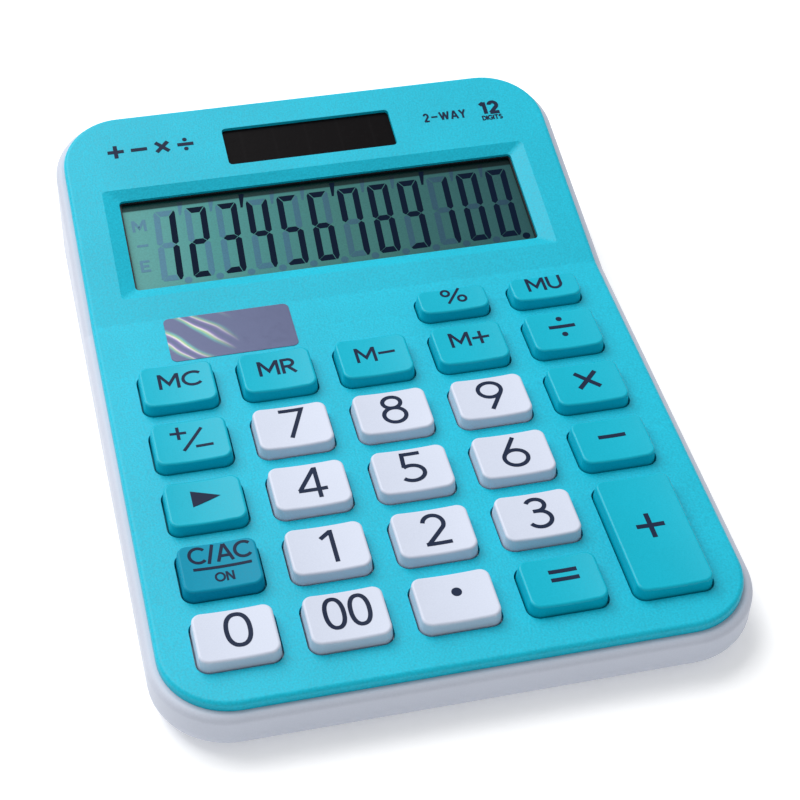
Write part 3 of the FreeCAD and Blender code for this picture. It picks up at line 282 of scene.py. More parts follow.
# %% [markdown]
# ## Finishes
#
# Every surface gets a finish built from nodes, since even plain plastic is never one flat colour.
# Moulded parts carry the fine spark-eroded grain of the mould: a noise with features a few tenths of
# a millimetre wide, lifted from a few thousandths to a few hundredths of one. A second, much broader noise
# makes the colour and the gloss wander a little, as handling and moulding do. All the patterns read
# object coordinates, in metres, so a scale of 4000 means features of about a quarter of a millimetre.

# %% Small helpers for node finishes
GRAIN_BROAD = 60.0
NOISE_LOW = 0.3
NOISE_HIGH = 0.7
WHITE = (1.0, 1.0, 1.0, 1.0)


def linear(red, green, blue):
    """Screen values from 0 to 255 as the linear colour that shaders use."""
    shares = np.array([red, green, blue]) / 255.0
    light = np.where(shares <= 0.04045, shares / 12.92, ((shares + 0.055) / 1.055) ** 2.4)
    return (*light.tolist(), 1.0)


def new_finish(name):
    """An empty node finish: its material, node tree, shader and object coordinates."""
    finish = bpy.data.materials.new(name)
    finish.use_nodes = True
    tree = finish.node_tree
    coordinates = tree.nodes.new("ShaderNodeTexCoord").outputs["Object"]
    return finish, tree, tree.nodes["Principled BSDF"], coordinates


def noise(tree, coordinates, scale, detail=3.0):
    """A noise that reads the object's own coordinates."""
    node = tree.nodes.new("ShaderNodeTexNoise")
    node.inputs["Scale"].default_value = scale
    node.inputs["Detail"].default_value = detail
    tree.links.new(coordinates, node.inputs["Vector"])
    return node.outputs["Fac"]


def ramp(tree, share, stops):
    """A colour ramp with the given (position, colour) stops."""
    node = tree.nodes.new("ShaderNodeValToRGB")
    wall_shadow = node.color_ramp
    wall_shadow.elements[0].position, wall_shadow.elements[0].color = stops[0]
    wall_shadow.elements[1].position, wall_shadow.elements[1].color = stops[-1]
    for position, colour in stops[1:-1]:
        wall_shadow.elements.new(position).color = colour
    tree.links.new(share, node.inputs["Fac"])
    return node.outputs["Color"]


def spread(tree, share, low, high):
    """Stretches a noise, which mostly stays between NOISE_LOW and NOISE_HIGH, to run from low to high."""
    node = tree.nodes.new("ShaderNodeMapRange")
    node.inputs["From Min"].default_value = NOISE_LOW
    node.inputs["From Max"].default_value = NOISE_HIGH
    node.inputs["To Min"].default_value = low
    node.inputs["To Max"].default_value = high
    tree.links.new(share, node.inputs["Value"])
    return node.outputs["Result"]


def raised(tree, shader, share, height):
    """Lifts the surface by height millimetres where the share is one."""
    node = tree.nodes.new("ShaderNodeBump")
    node.inputs["Distance"].default_value = height * MM
    node.inputs["Strength"].default_value = 1.0
    tree.links.new(share, node.inputs["Height"])
    tree.links.new(node.outputs["Normal"], shader.inputs["Normal"])


def shade(colour, factor):
    """The same colour, lighter or darker."""
    return (*(min(1.0, channel * factor) for channel in colour[:3]), 1.0)


def multiplied(tree, first, second):
    """Two colours, multiplied channel by channel."""
    mix = tree.nodes.new("ShaderNodeMix")
    mix.data_type = "RGBA"
    mix.blend_type = "MULTIPLY"
    mix.inputs["Factor"].default_value = 1.0
    tree.links.new(first, mix.inputs["A"])
    tree.links.new(second, mix.inputs["B"])
    return mix.outputs["Result"]


def fleck(tree, share, dark):
    """A grey that runs from dark to white over the range of a noise."""
    return ramp(tree, share, [(NOISE_LOW, (dark, dark, dark, 1.0)), (NOISE_HIGH, WHITE)])


def moulded(name, colour, gloss, grain=4000.0, height=0.006, wander=0.05, flecks=0.95, shine=0.3):
    """Moulded plastic: wandering colour with fine flecks, grain and uneven gloss."""
    finish, tree, shader, coordinates = new_finish(name)
    broad = noise(tree, coordinates, GRAIN_BROAD, 4.0)
    fine = noise(tree, coordinates, grain, 2.0)
    stops = [(NOISE_LOW, shade(colour, 1 - wander)), (NOISE_HIGH, shade(colour, 1 + wander))]
    base = multiplied(tree, ramp(tree, broad, stops), fleck(tree, fine, flecks))
    tree.links.new(base, shader.inputs["Base Color"])
    tree.links.new(spread(tree, fine, gloss - 0.06, gloss + 0.06), shader.inputs["Roughness"])
    shader.inputs["Specular IOR Level"].default_value = shine
    raised(tree, shader, fine, height)
    return finish


def metal(name, colour, gloss, brush=(1.0, 1.0, 1.0)):
    """Sheet or plated metal: a stretched noise stands for the rolling or turning marks."""
    finish, tree, shader, coordinates = new_finish(name)
    stretch = tree.nodes.new("ShaderNodeMapping")
    stretch.inputs["Scale"].default_value = brush
    tree.links.new(coordinates, stretch.inputs["Vector"])
    marks = noise(tree, stretch.outputs["Vector"], 2500.0, 3.0)
    stops = [(NOISE_LOW, shade(colour, 0.85)), (NOISE_HIGH, colour)]
    tree.links.new(ramp(tree, marks, stops), shader.inputs["Base Color"])
    tree.links.new(spread(tree, marks, gloss - 0.08, gloss + 0.1), shader.inputs["Roughness"])
    shader.inputs["Metallic"].default_value = 1.0
    raised(tree, shader, marks, 0.002)
    return finish


print("helpers ready: moulded plastic and metal")

# %% [markdown]
# ## The turquoise cover and the white case
#
# The cover and the function keys are moulded in turquoise, the keys from a slightly deeper batch.
# The number keys and the lower case are a cool white. The grain on the cover is coarser than on
# the keys, which are polished a little by fingers, so the keys have a lower roughness.

# %% Plastics of the outside
COVER_BLUE = linear(0, 188, 214)
KEY_TEAL = linear(0, 176, 200)
KEY_DEEP = linear(0, 142, 172)
COOL_WHITE = linear(206, 212, 228)
CASE_WHITE = linear(194, 199, 212)

cover_finish = moulded("cover turquoise", COVER_BLUE, 0.46, 2600.0, 0.05, 0.04, flecks=0.8)
key_finish = moulded("function key turquoise", KEY_TEAL, 0.34, 3400.0, 0.012, 0.03, flecks=0.92, shine=0.22)
deep_finish = moulded("power key turquoise", KEY_DEEP, 0.4, 3400.0, 0.012, 0.03, flecks=0.92, shine=0.12)
white_finish = moulded("number key white", COOL_WHITE, 0.42, 4200.0, 0.005, 0.02)
case_finish = moulded("case white", CASE_WHITE, 0.46, 3600.0, 0.007, 0.02)
holder_finish = moulded("display holder black", linear(14, 16, 20), 0.5, 3800.0, 0.006, 0.1)
print("plastics:", [finish.name for finish in (cover_finish, key_finish, white_finish, case_finish)])

# %% [markdown]
# ## The display glass
#
# A reflective liquid crystal looks grey-green, because light passes a polariser, the crystal and
# the polariser again. It is lighter where the room's light falls in and darker to the right and
# under the upper wall of the window. A soft light casts hardly any shadow into so shallow a window, so
# both are painted: a ramp along X on object coordinates, and a dark band that starts at a set Y. A
# faint anti-glare grain lies on top. The unlit segments are the same film, dyed bluer.

# %% The display film
# The film's own grey-green with painted light on it: lighter at the left, where the room's light falls in,
# and darker to the right.
FILM_COLOUR_AND_PAINTED_LIGHT = [
    (0.0, linear(94, 160, 156)), (0.2, linear(74, 144, 141)), (0.37, linear(64, 128, 126)),
    (0.52, linear(60, 118, 114)), (0.75, linear(50, 100, 99)), (1.0, linear(40, 82, 84)),
]
FILM_HALF_WIDE = 0.0418
# Painted shadow: under the window's upper wall the film is darkened to this colour, between the two heights
# of the edge below.
WALL_SHADOW_COLOUR = (0.03, 0.13, 0.13, 1.0)
WALL_SHADOW_EDGE = [(0.0, 29.8, -0.8), (0.0, 30.1, -0.8)]
WALL_SHADOW_START, WALL_SHADOW_FULL = points_on(DISPLAY, WALL_SHADOW_EDGE)[:, 1].tolist()


def display_film(name, tint=WHITE):
    """Grey-green film with painted light and shade: darker to the right, and a painted shadow under the
    upper wall; a tint dyes it.
    """
    finish, tree, shader, coordinates = new_finish(name)
    apart = tree.nodes.new("ShaderNodeSeparateXYZ")
    tree.links.new(coordinates, apart.inputs["Vector"])
    across = tree.nodes.new("ShaderNodeMapRange")
    across.inputs["From Min"].default_value = -FILM_HALF_WIDE
    across.inputs["From Max"].default_value = FILM_HALF_WIDE
    tree.links.new(apart.outputs["X"], across.inputs["Value"])
    stops = [(share, tuple(np.multiply(colour, tint))) for share, colour in FILM_COLOUR_AND_PAINTED_LIGHT]
    grain = noise(tree, coordinates, 3000.0, 2.0)
    base = multiplied(tree, ramp(tree, across.outputs["Result"], stops), fleck(tree, grain, 0.84))
    # The painted shadow of the upper wall: the film darkens over a short rise in Y.
    upward = tree.nodes.new("ShaderNodeMapRange")
    upward.inputs["From Min"].default_value = WALL_SHADOW_START
    upward.inputs["From Max"].default_value = WALL_SHADOW_FULL
    tree.links.new(apart.outputs["Y"], upward.inputs["Value"])
    wall_shadow = ramp(tree, upward.outputs["Result"], [(0.0, WHITE), (1.0, WALL_SHADOW_COLOUR)])
    base = multiplied(tree, base, wall_shadow)
    tree.links.new(base, shader.inputs["Base Color"])
    tree.links.new(spread(tree, grain, 0.3, 0.42), shader.inputs["Roughness"])
    shader.inputs["Specular IOR Level"].default_value = 0.1
    raised(tree, shader, grain, 0.002)
    return finish


film_finish = display_film("display film")
segment_finish = moulded("lit segment", linear(2, 20, 42), 0.5, 3000.0, 0.002, 0.1, shine=0.04)
ghost_finish = display_film("unlit segment", (0.86, 0.68, 1.02, 1.0))
print("display finishes ready")

# %% [markdown]
# ## Ink, foil, solar cell and rubber
#
# The legends are a dark navy ink with a slight satin. The guarantee foil is an embossed metal film
# that splits the light into colours; here that rainbow sheen is painted: a distorted wave chooses from
# a ramp of pale spectrum colours, in soft bands that fade into a violet-grey ground. It carries no
# writing. The solar cell is almost black glass, crossed by hair-thin dividing lines.

# %% Ink, foil, solar cell, rubber
ink_finish = moulded("legend ink", linear(26, 38, 64), 0.46, 5000.0, 0.002, 0.08, shine=0.1)
rubber_finish = moulded("grey rubber", linear(70, 72, 78), 0.75, 2500.0, 0.012, 0.08)
foot_finish = moulded("foot rubber", linear(52, 54, 58), 0.8, 2500.0, 0.012, 0.08)


def rainbow_foil(name):
    """Violet-grey foil with a painted rainbow sheen: soft curved bands of pale spectrum colours near one
    corner.
    """
    finish, tree, shader, coordinates = new_finish(name)
    centre = tree.nodes.new("ShaderNodeMapping")
    centre.inputs["Location"].default_value = (0.0335, -0.0145, -0.016)
    tree.links.new(coordinates, centre.inputs["Vector"])
    bands = tree.nodes.new("ShaderNodeTexWave")
    bands.bands_direction = "DIAGONAL"
    bands.inputs["Scale"].default_value = 70.0
    bands.inputs["Distortion"].default_value = 3.0
    bands.inputs["Detail"].default_value = 1.5
    bands.inputs["Detail Scale"].default_value = 0.9
    tree.links.new(centre.outputs["Vector"], bands.inputs["Vector"])
    ground = linear(86, 92, 122)
    # Painted sheen: the rainbow that the embossed foil splits from the light, put into the base colour.
    spectrum = ramp(tree, bands.outputs["Fac"], [
        (0.0, ground), (0.3, ground), (0.52, linear(96, 150, 150)), (0.68, linear(150, 178, 128)),
        (0.78, linear(198, 190, 196)), (0.9, linear(112, 104, 150)), (1.0, ground)])
    reach = tree.nodes.new("ShaderNodeVectorMath")
    reach.operation = "LENGTH"
    tree.links.new(centre.outputs["Vector"], reach.inputs[0])
    fade = tree.nodes.new("ShaderNodeMapRange")
    fade.inputs["From Min"].default_value = 0.003
    fade.inputs["From Max"].default_value = 0.010
    fade.inputs["To Min"].default_value = 1.0
    fade.inputs["To Max"].default_value = 0.0
    tree.links.new(reach.outputs["Value"], fade.inputs["Value"])
    mix = tree.nodes.new("ShaderNodeMix")
    mix.data_type = "RGBA"
    mix.inputs["A"].default_value = ground
    tree.links.new(fade.outputs["Result"], mix.inputs["Factor"])
    tree.links.new(spectrum, mix.inputs["B"])
    tree.links.new(mix.outputs["Result"], shader.inputs["Base Color"])
    creases = noise(tree, coordinates, 900.0, 4.0)
    tree.links.new(spread(tree, creases, 0.3, 0.45), shader.inputs["Roughness"])
    shader.inputs["Metallic"].default_value = 0.55
    raised(tree, shader, creases, 0.006)
    return finish


def solar_glass(name):
    """Almost black glass with fine, barely visible dividing lines from top to bottom."""
    finish, tree, shader, coordinates = new_finish(name)
    lines = tree.nodes.new("ShaderNodeTexWave")
    lines.bands_direction = "X"
    lines.inputs["Scale"].default_value = 45.0
    tree.links.new(coordinates, lines.inputs["Vector"])
    stops = [(0.0, linear(21, 19, 20)), (0.03, linear(18, 16, 17)), (1.0, linear(18, 16, 17))]
    tree.links.new(ramp(tree, lines.outputs["Fac"], stops), shader.inputs["Base Color"])
    dust = noise(tree, coordinates, 700.0, 5.0)
    tree.links.new(spread(tree, dust, 0.2, 0.3), shader.inputs["Roughness"])
    shader.inputs["Specular IOR Level"].default_value = 0.02
    raised(tree, shader, dust, 0.001)
    return finish


foil_finish = rainbow_foil("rainbow foil")
solar_finish = solar_glass("solar cell glass")
print("ink, foil, solar cell and rubber ready")

# %% [markdown]
# ## What is inside
#
# The board, the mat of rubber domes, the battery clips and the display sandwich hardly show, but they
# are there when the case is taken apart, so they get their own finishes too: solder mask over
# glass cloth, carbon pills, tinned steel, clear glass, a dull reflector and orange ribbon.

# %% Finishes of the inside
def circuit_board(name):
    """Green solder mask with the weave of the glass cloth and broad copper areas under it."""
    finish, tree, shader, coordinates = new_finish(name)
    copper = noise(tree, coordinates, 180.0, 2.0)
    stops = [(0.45, linear(20, 82, 52)), (0.5, linear(38, 112, 68)), (0.62, linear(30, 98, 60))]
    tree.links.new(ramp(tree, copper, stops), shader.inputs["Base Color"])
    weave = tree.nodes.new("ShaderNodeTexWave")
    weave.inputs["Scale"].default_value = 350.0
    tree.links.new(coordinates, weave.inputs["Vector"])
    raised(tree, shader, weave.outputs["Fac"], 0.004)
    shader.inputs["Roughness"].default_value = 0.35
    return finish


def clear_glass(name):
    """Thin clear glass with faint smears that change its gloss."""
    finish, tree, shader, coordinates = new_finish(name)
    smears = noise(tree, coordinates, 90.0, 4.0)
    stops = [(NOISE_LOW, linear(225, 235, 232)), (NOISE_HIGH, linear(236, 242, 240))]
    tree.links.new(ramp(tree, smears, stops), shader.inputs["Base Color"])
    tree.links.new(spread(tree, smears, 0.02, 0.08), shader.inputs["Roughness"])
    shader.inputs["Transmission Weight"].default_value = 1.0
    return finish


board_finish = circuit_board("circuit board green")
glass_finish = clear_glass("display glass")
steel_finish = metal("plated steel", (0.72, 0.72, 0.7, 1.0), 0.3, (1.0, 0.15, 1.0))
screw_finish = metal("zinc screw", (0.6, 0.6, 0.58, 1.0), 0.34)
reflector_finish = metal("dull reflector", (0.7, 0.72, 0.7, 1.0), 0.55)
can_finish = metal("capacitor can", (0.66, 0.68, 0.72, 1.0), 0.35)
carbon_finish = moulded("carbon pill", linear(24, 24, 26), 0.7, 3000.0, 0.008, 0.15)
resin_finish = moulded("black resin", linear(18, 18, 20), 0.35, 900.0, 0.02, 0.15)
ribbon_finish = moulded("heat seal ribbon", linear(196, 176, 130), 0.45, 1800.0, 0.004, 0.12)
foam_finish = moulded("grey foam", linear(96, 98, 102), 0.9, 1600.0, 0.08, 0.2)
red_finish = moulded("red insulation", linear(176, 26, 28), 0.45, 2500.0, 0.006, 0.08)
black_finish = moulded("black insulation", linear(22, 22, 24), 0.45, 2500.0, 0.006, 0.1)
print("inside finishes ready")

# %% [markdown]
# ## Handing out the finishes
#
# Each solid arrives with material slots. The finish is put into those slots, so the solid keeps its
# name, shape and place. Keys not named in the table are white if they are number keys, turquoise if not.

# %% Give every solid its finish
FINISH_OF = {
    "top_cover": cover_finish, "rear_case": case_finish, "display_holder": holder_finish,
    "front_polariser": film_finish, "lcd_front_glass": glass_finish, "lcd_rear_glass": glass_finish,
    "rear_reflector": reflector_finish, "heat_seal_ribbon": ribbon_finish, "solar_cell": solar_finish,
    "solar_pad": foam_finish, "solar_lead_red": red_finish, "solar_lead_black": black_finish,
    "main_board": board_finish, "key_mat": rubber_finish, "carbon_pills": carbon_finish,
    "chip_blob": resin_finish, "capacitor": can_finish, "button_cell": steel_finish,
    "cell_clip_positive": steel_finish, "cell_contact_negative": steel_finish,
    "case_screws": screw_finish, "board_screws": screw_finish, "rubber_feet": foot_finish,
    "foil_sticker": foil_finish, "key_clear": deep_finish,
}
WHITE_KEYS = [f"key_{sign}" for sign in ("0", "00", "1", "2", "3", "4", "5", "6", "7", "8", "9", "point")]

for name, solid in nodes.items():
    plain = white_finish if name in WHITE_KEYS else key_finish
    finish = FINISH_OF.get(name, plain)
    for place in range(len(solid.data.materials)):
        solid.data.materials[place] = finish
    if not solid.data.materials:
        solid.data.materials.append(finish)
print("finished solids:", len(nodes))

# %% [markdown]
# ## Printing the keys
#
# The top of each key is a shallow trough, a strip of a cylinder 62 mm in radius, so ink
# printed on it follows the trough. A stroke's points are dropped onto that cylinder: the further a point
# is from the middle line of the key, the higher it sits. Each legend is one object and rides on the
# body of its key, so it goes down with the key.

# %% Where the ink lies on a key
TROUGH_RADIUS = 62.0
TROUGH_LOWEST = 2.18


def trough_height(x):
    """How far the trough's surface at x is above its lowest line: R - sqrt(R^2 - x^2)."""
    return TROUGH_RADIUS - np.sqrt(TROUGH_RADIUS ** 2 - x ** 2)


def merged(parts):
    """Several (points, faces) parts as one pair, with the face numbers moved on."""
    points = np.vstack([part[0] for part in parts])
    starts = np.cumsum([0] + [len(part[0]) for part in parts[:-1]])
    faces = [[corner + int(start) for corner in face]
             for part, start in zip(parts, starts) for face in part[1]]
    return points, faces


def new_piece(name, points, faces, finish, body, slot):
    """A finished object whose place is in its mesh, riding on a body."""
    mesh = bpy.data.meshes.new(name)
    mesh.from_pydata(points.tolist(), [], faces)
    mesh.update()
    mesh.materials.append(finish)
    piece = bpy.data.objects.new(name, mesh)
    bpy.context.scene.collection.objects.link(piece)
    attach(piece, body)
    return piece


def inked(strokes, pen, layer=0.0015):
    """Bars and plates for a list of paths; each lies a trace higher than the last, so none coincide."""
    parts = []
    for number, (kind, path) in enumerate(strokes):
        high = INK_HIGH + layer * number
        if kind == "fill":
            parts.append(plate(path, high=high))
        else:
            parts.append(pen_bar(path, pen, closed=kind == "ring", high=high))
    return merged(parts)


print("the trough is", round(float(trough_height(5.0)), 3), "mm higher 5 mm from its middle")

# %% [markdown]
# ## What each key says
#
# Every legend is a list of paths and the width of its pen. The places are millimetres from the middle of
# the key. Numerals are set alike, so a table holds only where the middle of each one goes.

# %% The legends, in millimetres from the middle of each key
NUMERAL_PEN = 0.8
SIGN_PEN = 0.86
SHIFT = np.array([0.1, 0.43])

PLUS_MINUS = (scaled(LETTERS["+"], 0.9, 0.9, -3.75, 0.0) + [("line", [(-1.75, -2.75), (2.2, 2.5)])]
              + scaled(LETTERS["-"], 0.98, 1.0, 0.55, -4.0))
NUMERAL_MIDDLES = {
    "7": (0.0, 0.25), "8": (0.1, -0.05), "9": (0.05, 0.05), "4": (0.28, 0.0), "5": (-0.06, 0.15),
    "6": (0.15, 0.0), "1": (0.0, -0.1), "2": (0.28, 0.0), "3": (0.25, 0.0), "0": (0.45, 0.33),
}
LEGENDS = {sign: (lettering(sign, NUMERAL_TALL, *middle), NUMERAL_PEN)
           for sign, middle in NUMERAL_MIDDLES.items()}
LEGENDS |= {
    "00": (lettering("00", 6.9, 0.1, 0.3, gap=0.4, squeeze=0.84), 0.78),
    "point": ([("fill", spot(0.3, 0.68, 0.92))], NUMERAL_PEN),
    "equals": ([("line", [(-2.13, 1.5), (2.93, 1.5)]), ("line", [(-2.13, -0.3), (2.93, -0.3)])], 0.82),
    "plus": ([("line", [(-2.8, 0.75), (2.4, 0.75)]), ("line", [(-0.2, -2.05), (-0.2, 3.55)])], 0.9),
    "minus": ([("line", [(-2.62, 0.35), (2.62, 0.35)])], SIGN_PEN),
    "times": ([("line", [(-1.95, -1.75), (2.15, 2.35)]), ("line", [(-1.95, 2.35), (2.15, -1.75)])], 0.9),
    "divide": ([("line", [(-2.85, 0.46), (2.45, 0.46)]), ("fill", spot(-0.2, 2.65, 0.6)),
                ("fill", spot(-0.2, -1.73, 0.6))], SIGN_PEN),
    "percent": (lettering("%", 4.1, 0.28, 0.56), 0.52),
    "mu": (lettering("MU", 3.75, 0.0, 0.56), 0.6),
    "mc": (lettering("MC", 3.95, 0.4, 0.52), 0.62),
    "mr": (lettering("MR", 3.95, 0.03, 0.28), 0.62),
    "m_minus": (lettering("M-", 3.95, 0.34, 0.2, gap=0.3), 0.6),
    "m_plus": (lettering("M+", 3.95, 0.25, 0.7, gap=0.3), 0.6),
    "sign": (PLUS_MINUS, 0.6),
    "forward": ([("fill", [(-2.4, 2.28), (-2.4, -1.53), (2.8, 0.38)])], NUMERAL_PEN),
    "clear": (lettering("C/AC", 3.8, 0.28, 2.3, gap=0.1, squeeze=0.84)
              + [("line", [(-4.8, -0.8), (5.4, -0.8)])], 0.58),
}
SMALL_WORD = (lettering("ON", 2.0, 0.28, -3.0, gap=0.2, squeeze=0.85), 0.36)
print("legends:", len(LEGENDS))

# %% [markdown]
# ## Onto the keys
#
# A pad presses all the ink down at once. Here each legend is moved to the middle of its own key and
# lowered onto the trough, then carried into the room by the matrix of the key deck. The word under the
# power key's line is finer than the rest, so it has its own pen.

# %% Print every key
for sign, (strokes, pen) in LEGENDS.items():
    parts = [inked(strokes, pen)]
    if sign == "clear":
        parts.append(inked(*SMALL_WORD))
    points, faces = merged(parts)
    low, high = box_on(DECK, f"key_{sign}")
    points[:, :2] += SHIFT
    points[:, 2] += TROUGH_LOWEST + trough_height(points[:, 0])
    points[:, :2] += (low[:2] + high[:2]) / 2
    new_piece(f"legend_{sign}", points_on(DECK, points), faces, ink_finish, f"key_{sign}_body", "black")
print("printed", len(LEGENDS), "keys")

# %% [markdown]
# ## The figures in the display
#
# Twelve figures of seven segments lean slightly to the right. A segment that is switched on blocks the
# light and looks dark navy. One that is off still shows faintly as a bluish ghost,
# and so do the marks for memory, minus and error at the left, the ticks between
# the thousands and the decimal points. All are plates a few hundredths thick on the polariser.

# %% Seven segments and where they stand
FIGURE_TALL = 18.0
LEAN = 0.95 / FIGURE_TALL
FIGURE_PITCH = 6.44
FIRST_FIGURE = (-36.2, 10.7)
SEGMENT_LOW = -0.01
SEGMENT_HIGH = 0.03

SEGMENTS = {
    "a": [(1.4, 16.6), (3.05, 16.6), (4.05, 18.0), (0.45, 18.0)],
    "b": [(3.16, 9.75), (3.85, 9.1), (4.45, 9.65), (4.45, 17.3), (4.2, 17.9), (3.16, 16.4)],
    "c": [(3.16, 1.5), (3.68, 0.05), (4.05, 0.1), (4.45, 0.9), (4.45, 8.4), (3.85, 8.95), (3.16, 8.35)],
    "d": [(0.5, 0.0), (3.55, 0.0), (3.02, 1.4), (1.4, 1.4), (0.2, 0.45)],
    "e": [(0.0, 0.6), (0.12, 0.5), (1.29, 1.45), (1.29, 8.35), (0.6, 8.95), (0.0, 8.4)],
    "f": [(0.0, 9.65), (0.6, 9.1), (1.29, 9.75), (1.29, 16.4), (0.3, 17.9), (0.0, 17.3)],
    "g": [(0.75, 9.03), (1.45, 8.36), (3.0, 8.36), (3.7, 9.03), (3.0, 9.7), (1.45, 9.7)],
}
FIGURES = {"1": "bc", "2": "abged", "3": "abgcd", "4": "fgbc", "5": "afgcd", "6": "afgecd",
           "7": "fabc", "8": "abcdefg", "9": "abcdfg", "0": "abcdef"}
READING = "123456789100"
TICK = [(6.15, 16.4), (6.6, 16.4), (7.25, 19.9), (6.1, 19.9)]
LIT_TICKS = (2, 5, 8)
POINT_OF_FIGURE = (5.3, -0.35)


def leaning(outline, number):
    """An outline in a figure's own millimetres, leaned over and moved to the figure's place."""
    outline = np.asarray(outline, float)
    across = outline[:, 0] + LEAN * outline[:, 1] + FIRST_FIGURE[0] + FIGURE_PITCH * number
    return np.column_stack([across, outline[:, 1] + FIRST_FIGURE[1]])


lit, unlit = [], []
for number, figure in enumerate(READING):
    for segment, outline in SEGMENTS.items():
        (lit if segment in FIGURES[figure] else unlit).append(leaning(outline, number))
    last = number == len(READING) - 1
    (lit if last else unlit).append(leaning(spot(*POINT_OF_FIGURE, 0.8), number))
    if not last:
        (lit if number in LIT_TICKS else unlit).append(leaning(TICK, number) - (0.9, 0.0))
print("lit segments:", len(lit), "unlit:", len(unlit))

# %% [markdown]
# ## Marks and plates
#
# At the left end stand an M for memory, a minus sign and an E for error, all of them unlit. All lit
# plates make one piece and all unlit ones another, because they share one finish each.

# %% The memory, minus and error marks, and the plates themselves
MARKS = (lettering("M", 3.0, -38.6, 25.6, squeeze=0.9) + scaled(LETTERS["-"], 0.7, 1.0, -39.8, 18.4))
ERROR_MARK = [("line", [(-39.6, 13.7), (-39.6, 16.6)]), ("line", [(-39.85, 16.35), (-37.9, 16.35)]),
              ("line", [(-39.6, 15.15), (-38.1, 15.15)]), ("line", [(-39.85, 13.95), (-37.9, 13.95)])]

film_front = float(box_on(DISPLAY, "front_polariser")[1][2])


def on_film(parts):
    """Lifts parts from the plane of the sheet to the front of the polariser and into the room."""
    points, faces = merged(parts)
    points[:, 2] += film_front
    return points_on(DISPLAY, points), faces


lit_parts = [plate(outline, SEGMENT_LOW, SEGMENT_HIGH) for outline in lit]
unlit_parts = [plate(outline, SEGMENT_LOW, SEGMENT_HIGH / 2) for outline in unlit]
unlit_parts += [pen_bar(path, 0.6, low=SEGMENT_LOW, high=SEGMENT_HIGH / 2 + 0.001 * number)
                for number, (_, path) in enumerate(MARKS + ERROR_MARK)]
new_piece("lit_segments", *on_film(lit_parts), segment_finish, "case", "black")
new_piece("unlit_segments", *on_film(unlit_parts), ghost_finish, "case", "display")
print("the film's front is", round(film_front, 2), "mm from the display face")

# %% [markdown]
# ## The marks on the display face
#
# The cover is printed in the same navy ink beside the solar cell. To the left stand the four signs of
# arithmetic, to the right a note that the calculator has two sources of power, and the number of digits.

# %% Print the display face
def printed(name, strokes, pen):
    """A printed mark on the display face of the cover."""
    points, faces = inked(strokes, pen)
    return new_piece(name, points_on(DISPLAY, points), faces, ink_finish, "case", "black")


HALF = 1.7
CROSS = 1.3
BAR = ("line", [(-HALF, 0.0), (HALF, 0.0)])
ARITHMETIC = [
    [BAR, ("line", [(0.0, -HALF), (0.0, HALF)])],
    [BAR],
    [("line", [(-CROSS, -CROSS), (CROSS, CROSS)]), ("line", [(-CROSS, CROSS), (CROSS, -CROSS)])],
    [BAR, ("fill", spot(0.0, 1.25, 0.48)), ("fill", spot(0.0, -1.25, 0.48))],
]
FIRST_SIGN = (-40.6, 44.05)
SIGN_PITCH = 4.9

SIGNS = []
for number, shape in enumerate(ARITHMETIC):
    SIGNS += scaled(shape, 1, 1, FIRST_SIGN[0] + SIGN_PITCH * number, FIRST_SIGN[1])
printed("arithmetic_signs", SIGNS, 0.85)
printed("power_note", lettering("2-WAY", 2.3, 30.2, 43.3, gap=0.3, squeeze=0.72), 0.42)
printed("digit_count", lettering("12", 3.3, 40.4, 44.15, gap=0.5, squeeze=1.0), 0.85)
printed("digit_word", lettering("DIGITS", 1.25, 40.4, 41.35, gap=0.12, squeeze=0.8), 0.28)
print("marks printed")

# %% [markdown]
# ## The table
#
# The calculator lies on a white table. A real light table glows a little and so keeps shadows pale,
# and this one does too: its finish gives off a weak white light.

# %% The table
def table(half=1.5, count=9):
    """A flat square grid: point(u, v) = (u, v, 0) with u and v from -half to half."""
    u, v = np.meshgrid(np.linspace(-half, half, count), np.linspace(-half, half, count), indexing="ij")
    points = np.stack([u, v, np.zeros_like(u)], axis=-1).reshape(-1, 3)
    corner = (np.arange(count - 1)[:, None] * count + np.arange(count - 1)).ravel()
    faces = np.column_stack([corner, corner + count, corner + count + 1, corner + 1])
    mesh = bpy.data.meshes.new("table")
    mesh.from_pydata(points.tolist(), [], faces.tolist())
    floor = bpy.data.objects.new("table", mesh)
    bpy.context.scene.collection.objects.link(floor)
    return floor


TABLE_GLOW = 0.22

floor = table()
table_finish = moulded("table white", (0.95, 0.95, 0.95, 1.0), 0.7, 400.0, 0.002, 0.01, flecks=0.99)
table_shader = table_finish.node_tree.nodes["Principled BSDF"]
table_shader.inputs["Emission Color"].default_value = WHITE
table_shader.inputs["Emission Strength"].default_value = TABLE_GLOW
floor.data.materials.append(table_finish)
print("table of", len(floor.data.polygons), "faces")

# %% [markdown]
# ## The light
#
# One large soft light stands behind and to the left, and a faintly blue-white room fills the shadows.
# A large light gives shadows soft edges, because a point near the edge of a shadow still sees part of
# the light.

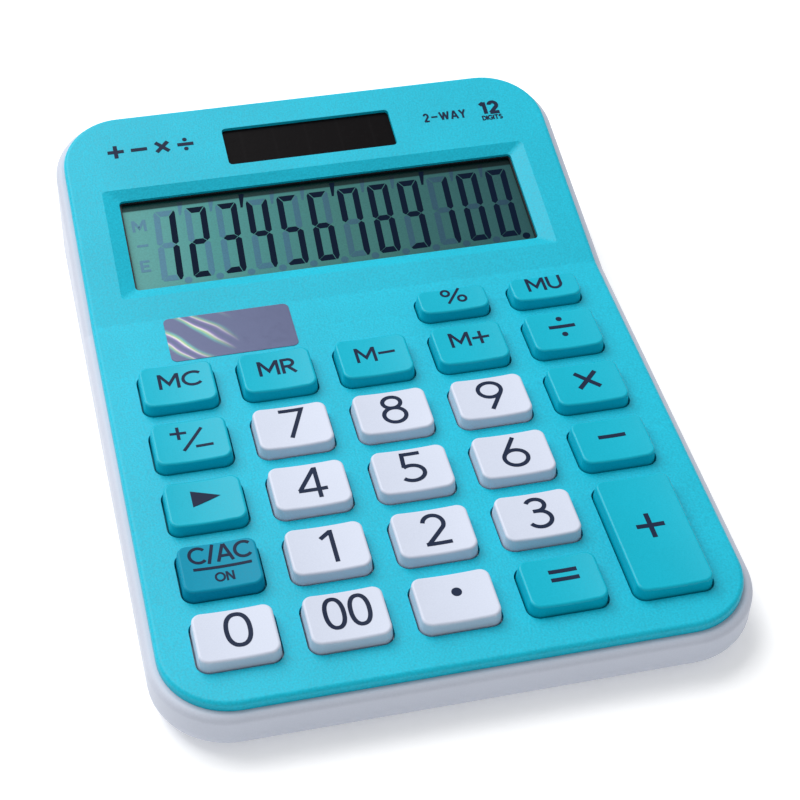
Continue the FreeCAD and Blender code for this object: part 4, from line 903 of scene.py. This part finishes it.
# %% The lights
ROOM_COLOUR = (0.96, 0.98, 1.0, 1.0)
ROOM_STRENGTH = 0.49

world = bpy.data.worlds.new("white room")
bpy.context.scene.world = world
world.use_nodes = True
world.node_tree.nodes["Background"].inputs["Color"].default_value = ROOM_COLOUR
world.node_tree.nodes["Background"].inputs["Strength"].default_value = ROOM_STRENGTH


def soft_light(name, place, size, power):
    """A square soft light at a place in metres, turned towards the middle of the table."""
    lamp = bpy.data.lights.new(name, "AREA")
    lamp.shape = "SQUARE"
    lamp.size = size
    lamp.energy = power
    light = bpy.data.objects.new(name, lamp)
    bpy.context.scene.collection.objects.link(light)
    light.matrix_world = Matrix.LocRotScale(place, Vector(place).to_track_quat("Z", "Y"), None)
    return light


lamp = soft_light("back left light", (-0.36, 0.52, 0.93), 1.0, 13.6)
print("light", round(lamp.location.length, 2), "m from the middle")

# %% [markdown]
# ## The camera
#
# The camera stands in front of the calculator, to the left and above. A long lens keeps
# the edges nearly parallel. Its turn is given by the way it looks and the way its picture's right side
# points; the third direction is their cross product.

# %% The camera
CAMERA_AT = np.array([-0.06838, -0.26687, 0.25618])
FORWARD = np.array([0.17177, 0.71879, -0.67368])
RIGHT = np.array([0.97497, -0.22205, 0.01167])

FORWARD /= np.linalg.norm(FORWARD)
RIGHT -= FORWARD * (RIGHT @ FORWARD)
RIGHT /= np.linalg.norm(RIGHT)
UPWARD = np.cross(RIGHT, FORWARD)
lens = bpy.data.cameras.new("camera")
lens.lens = 85.594
lens.sensor_width = 36.0
lens.shift_x = 0.0625
lens.clip_start = 0.01
camera = bpy.data.objects.new("camera", lens)
bpy.context.scene.collection.objects.link(camera)
turned = np.eye(4)
turned[:3, 0], turned[:3, 1], turned[:3, 2], turned[:3, 3] = RIGHT, UPWARD, -FORWARD, CAMERA_AT
camera.matrix_world = Matrix(turned.tolist())
bpy.context.scene.camera = camera
bpy.context.scene.view_settings.view_transform = "Standard"
print("camera", np.round(np.linalg.norm(CAMERA_AT) * 1000), "mm from the middle")
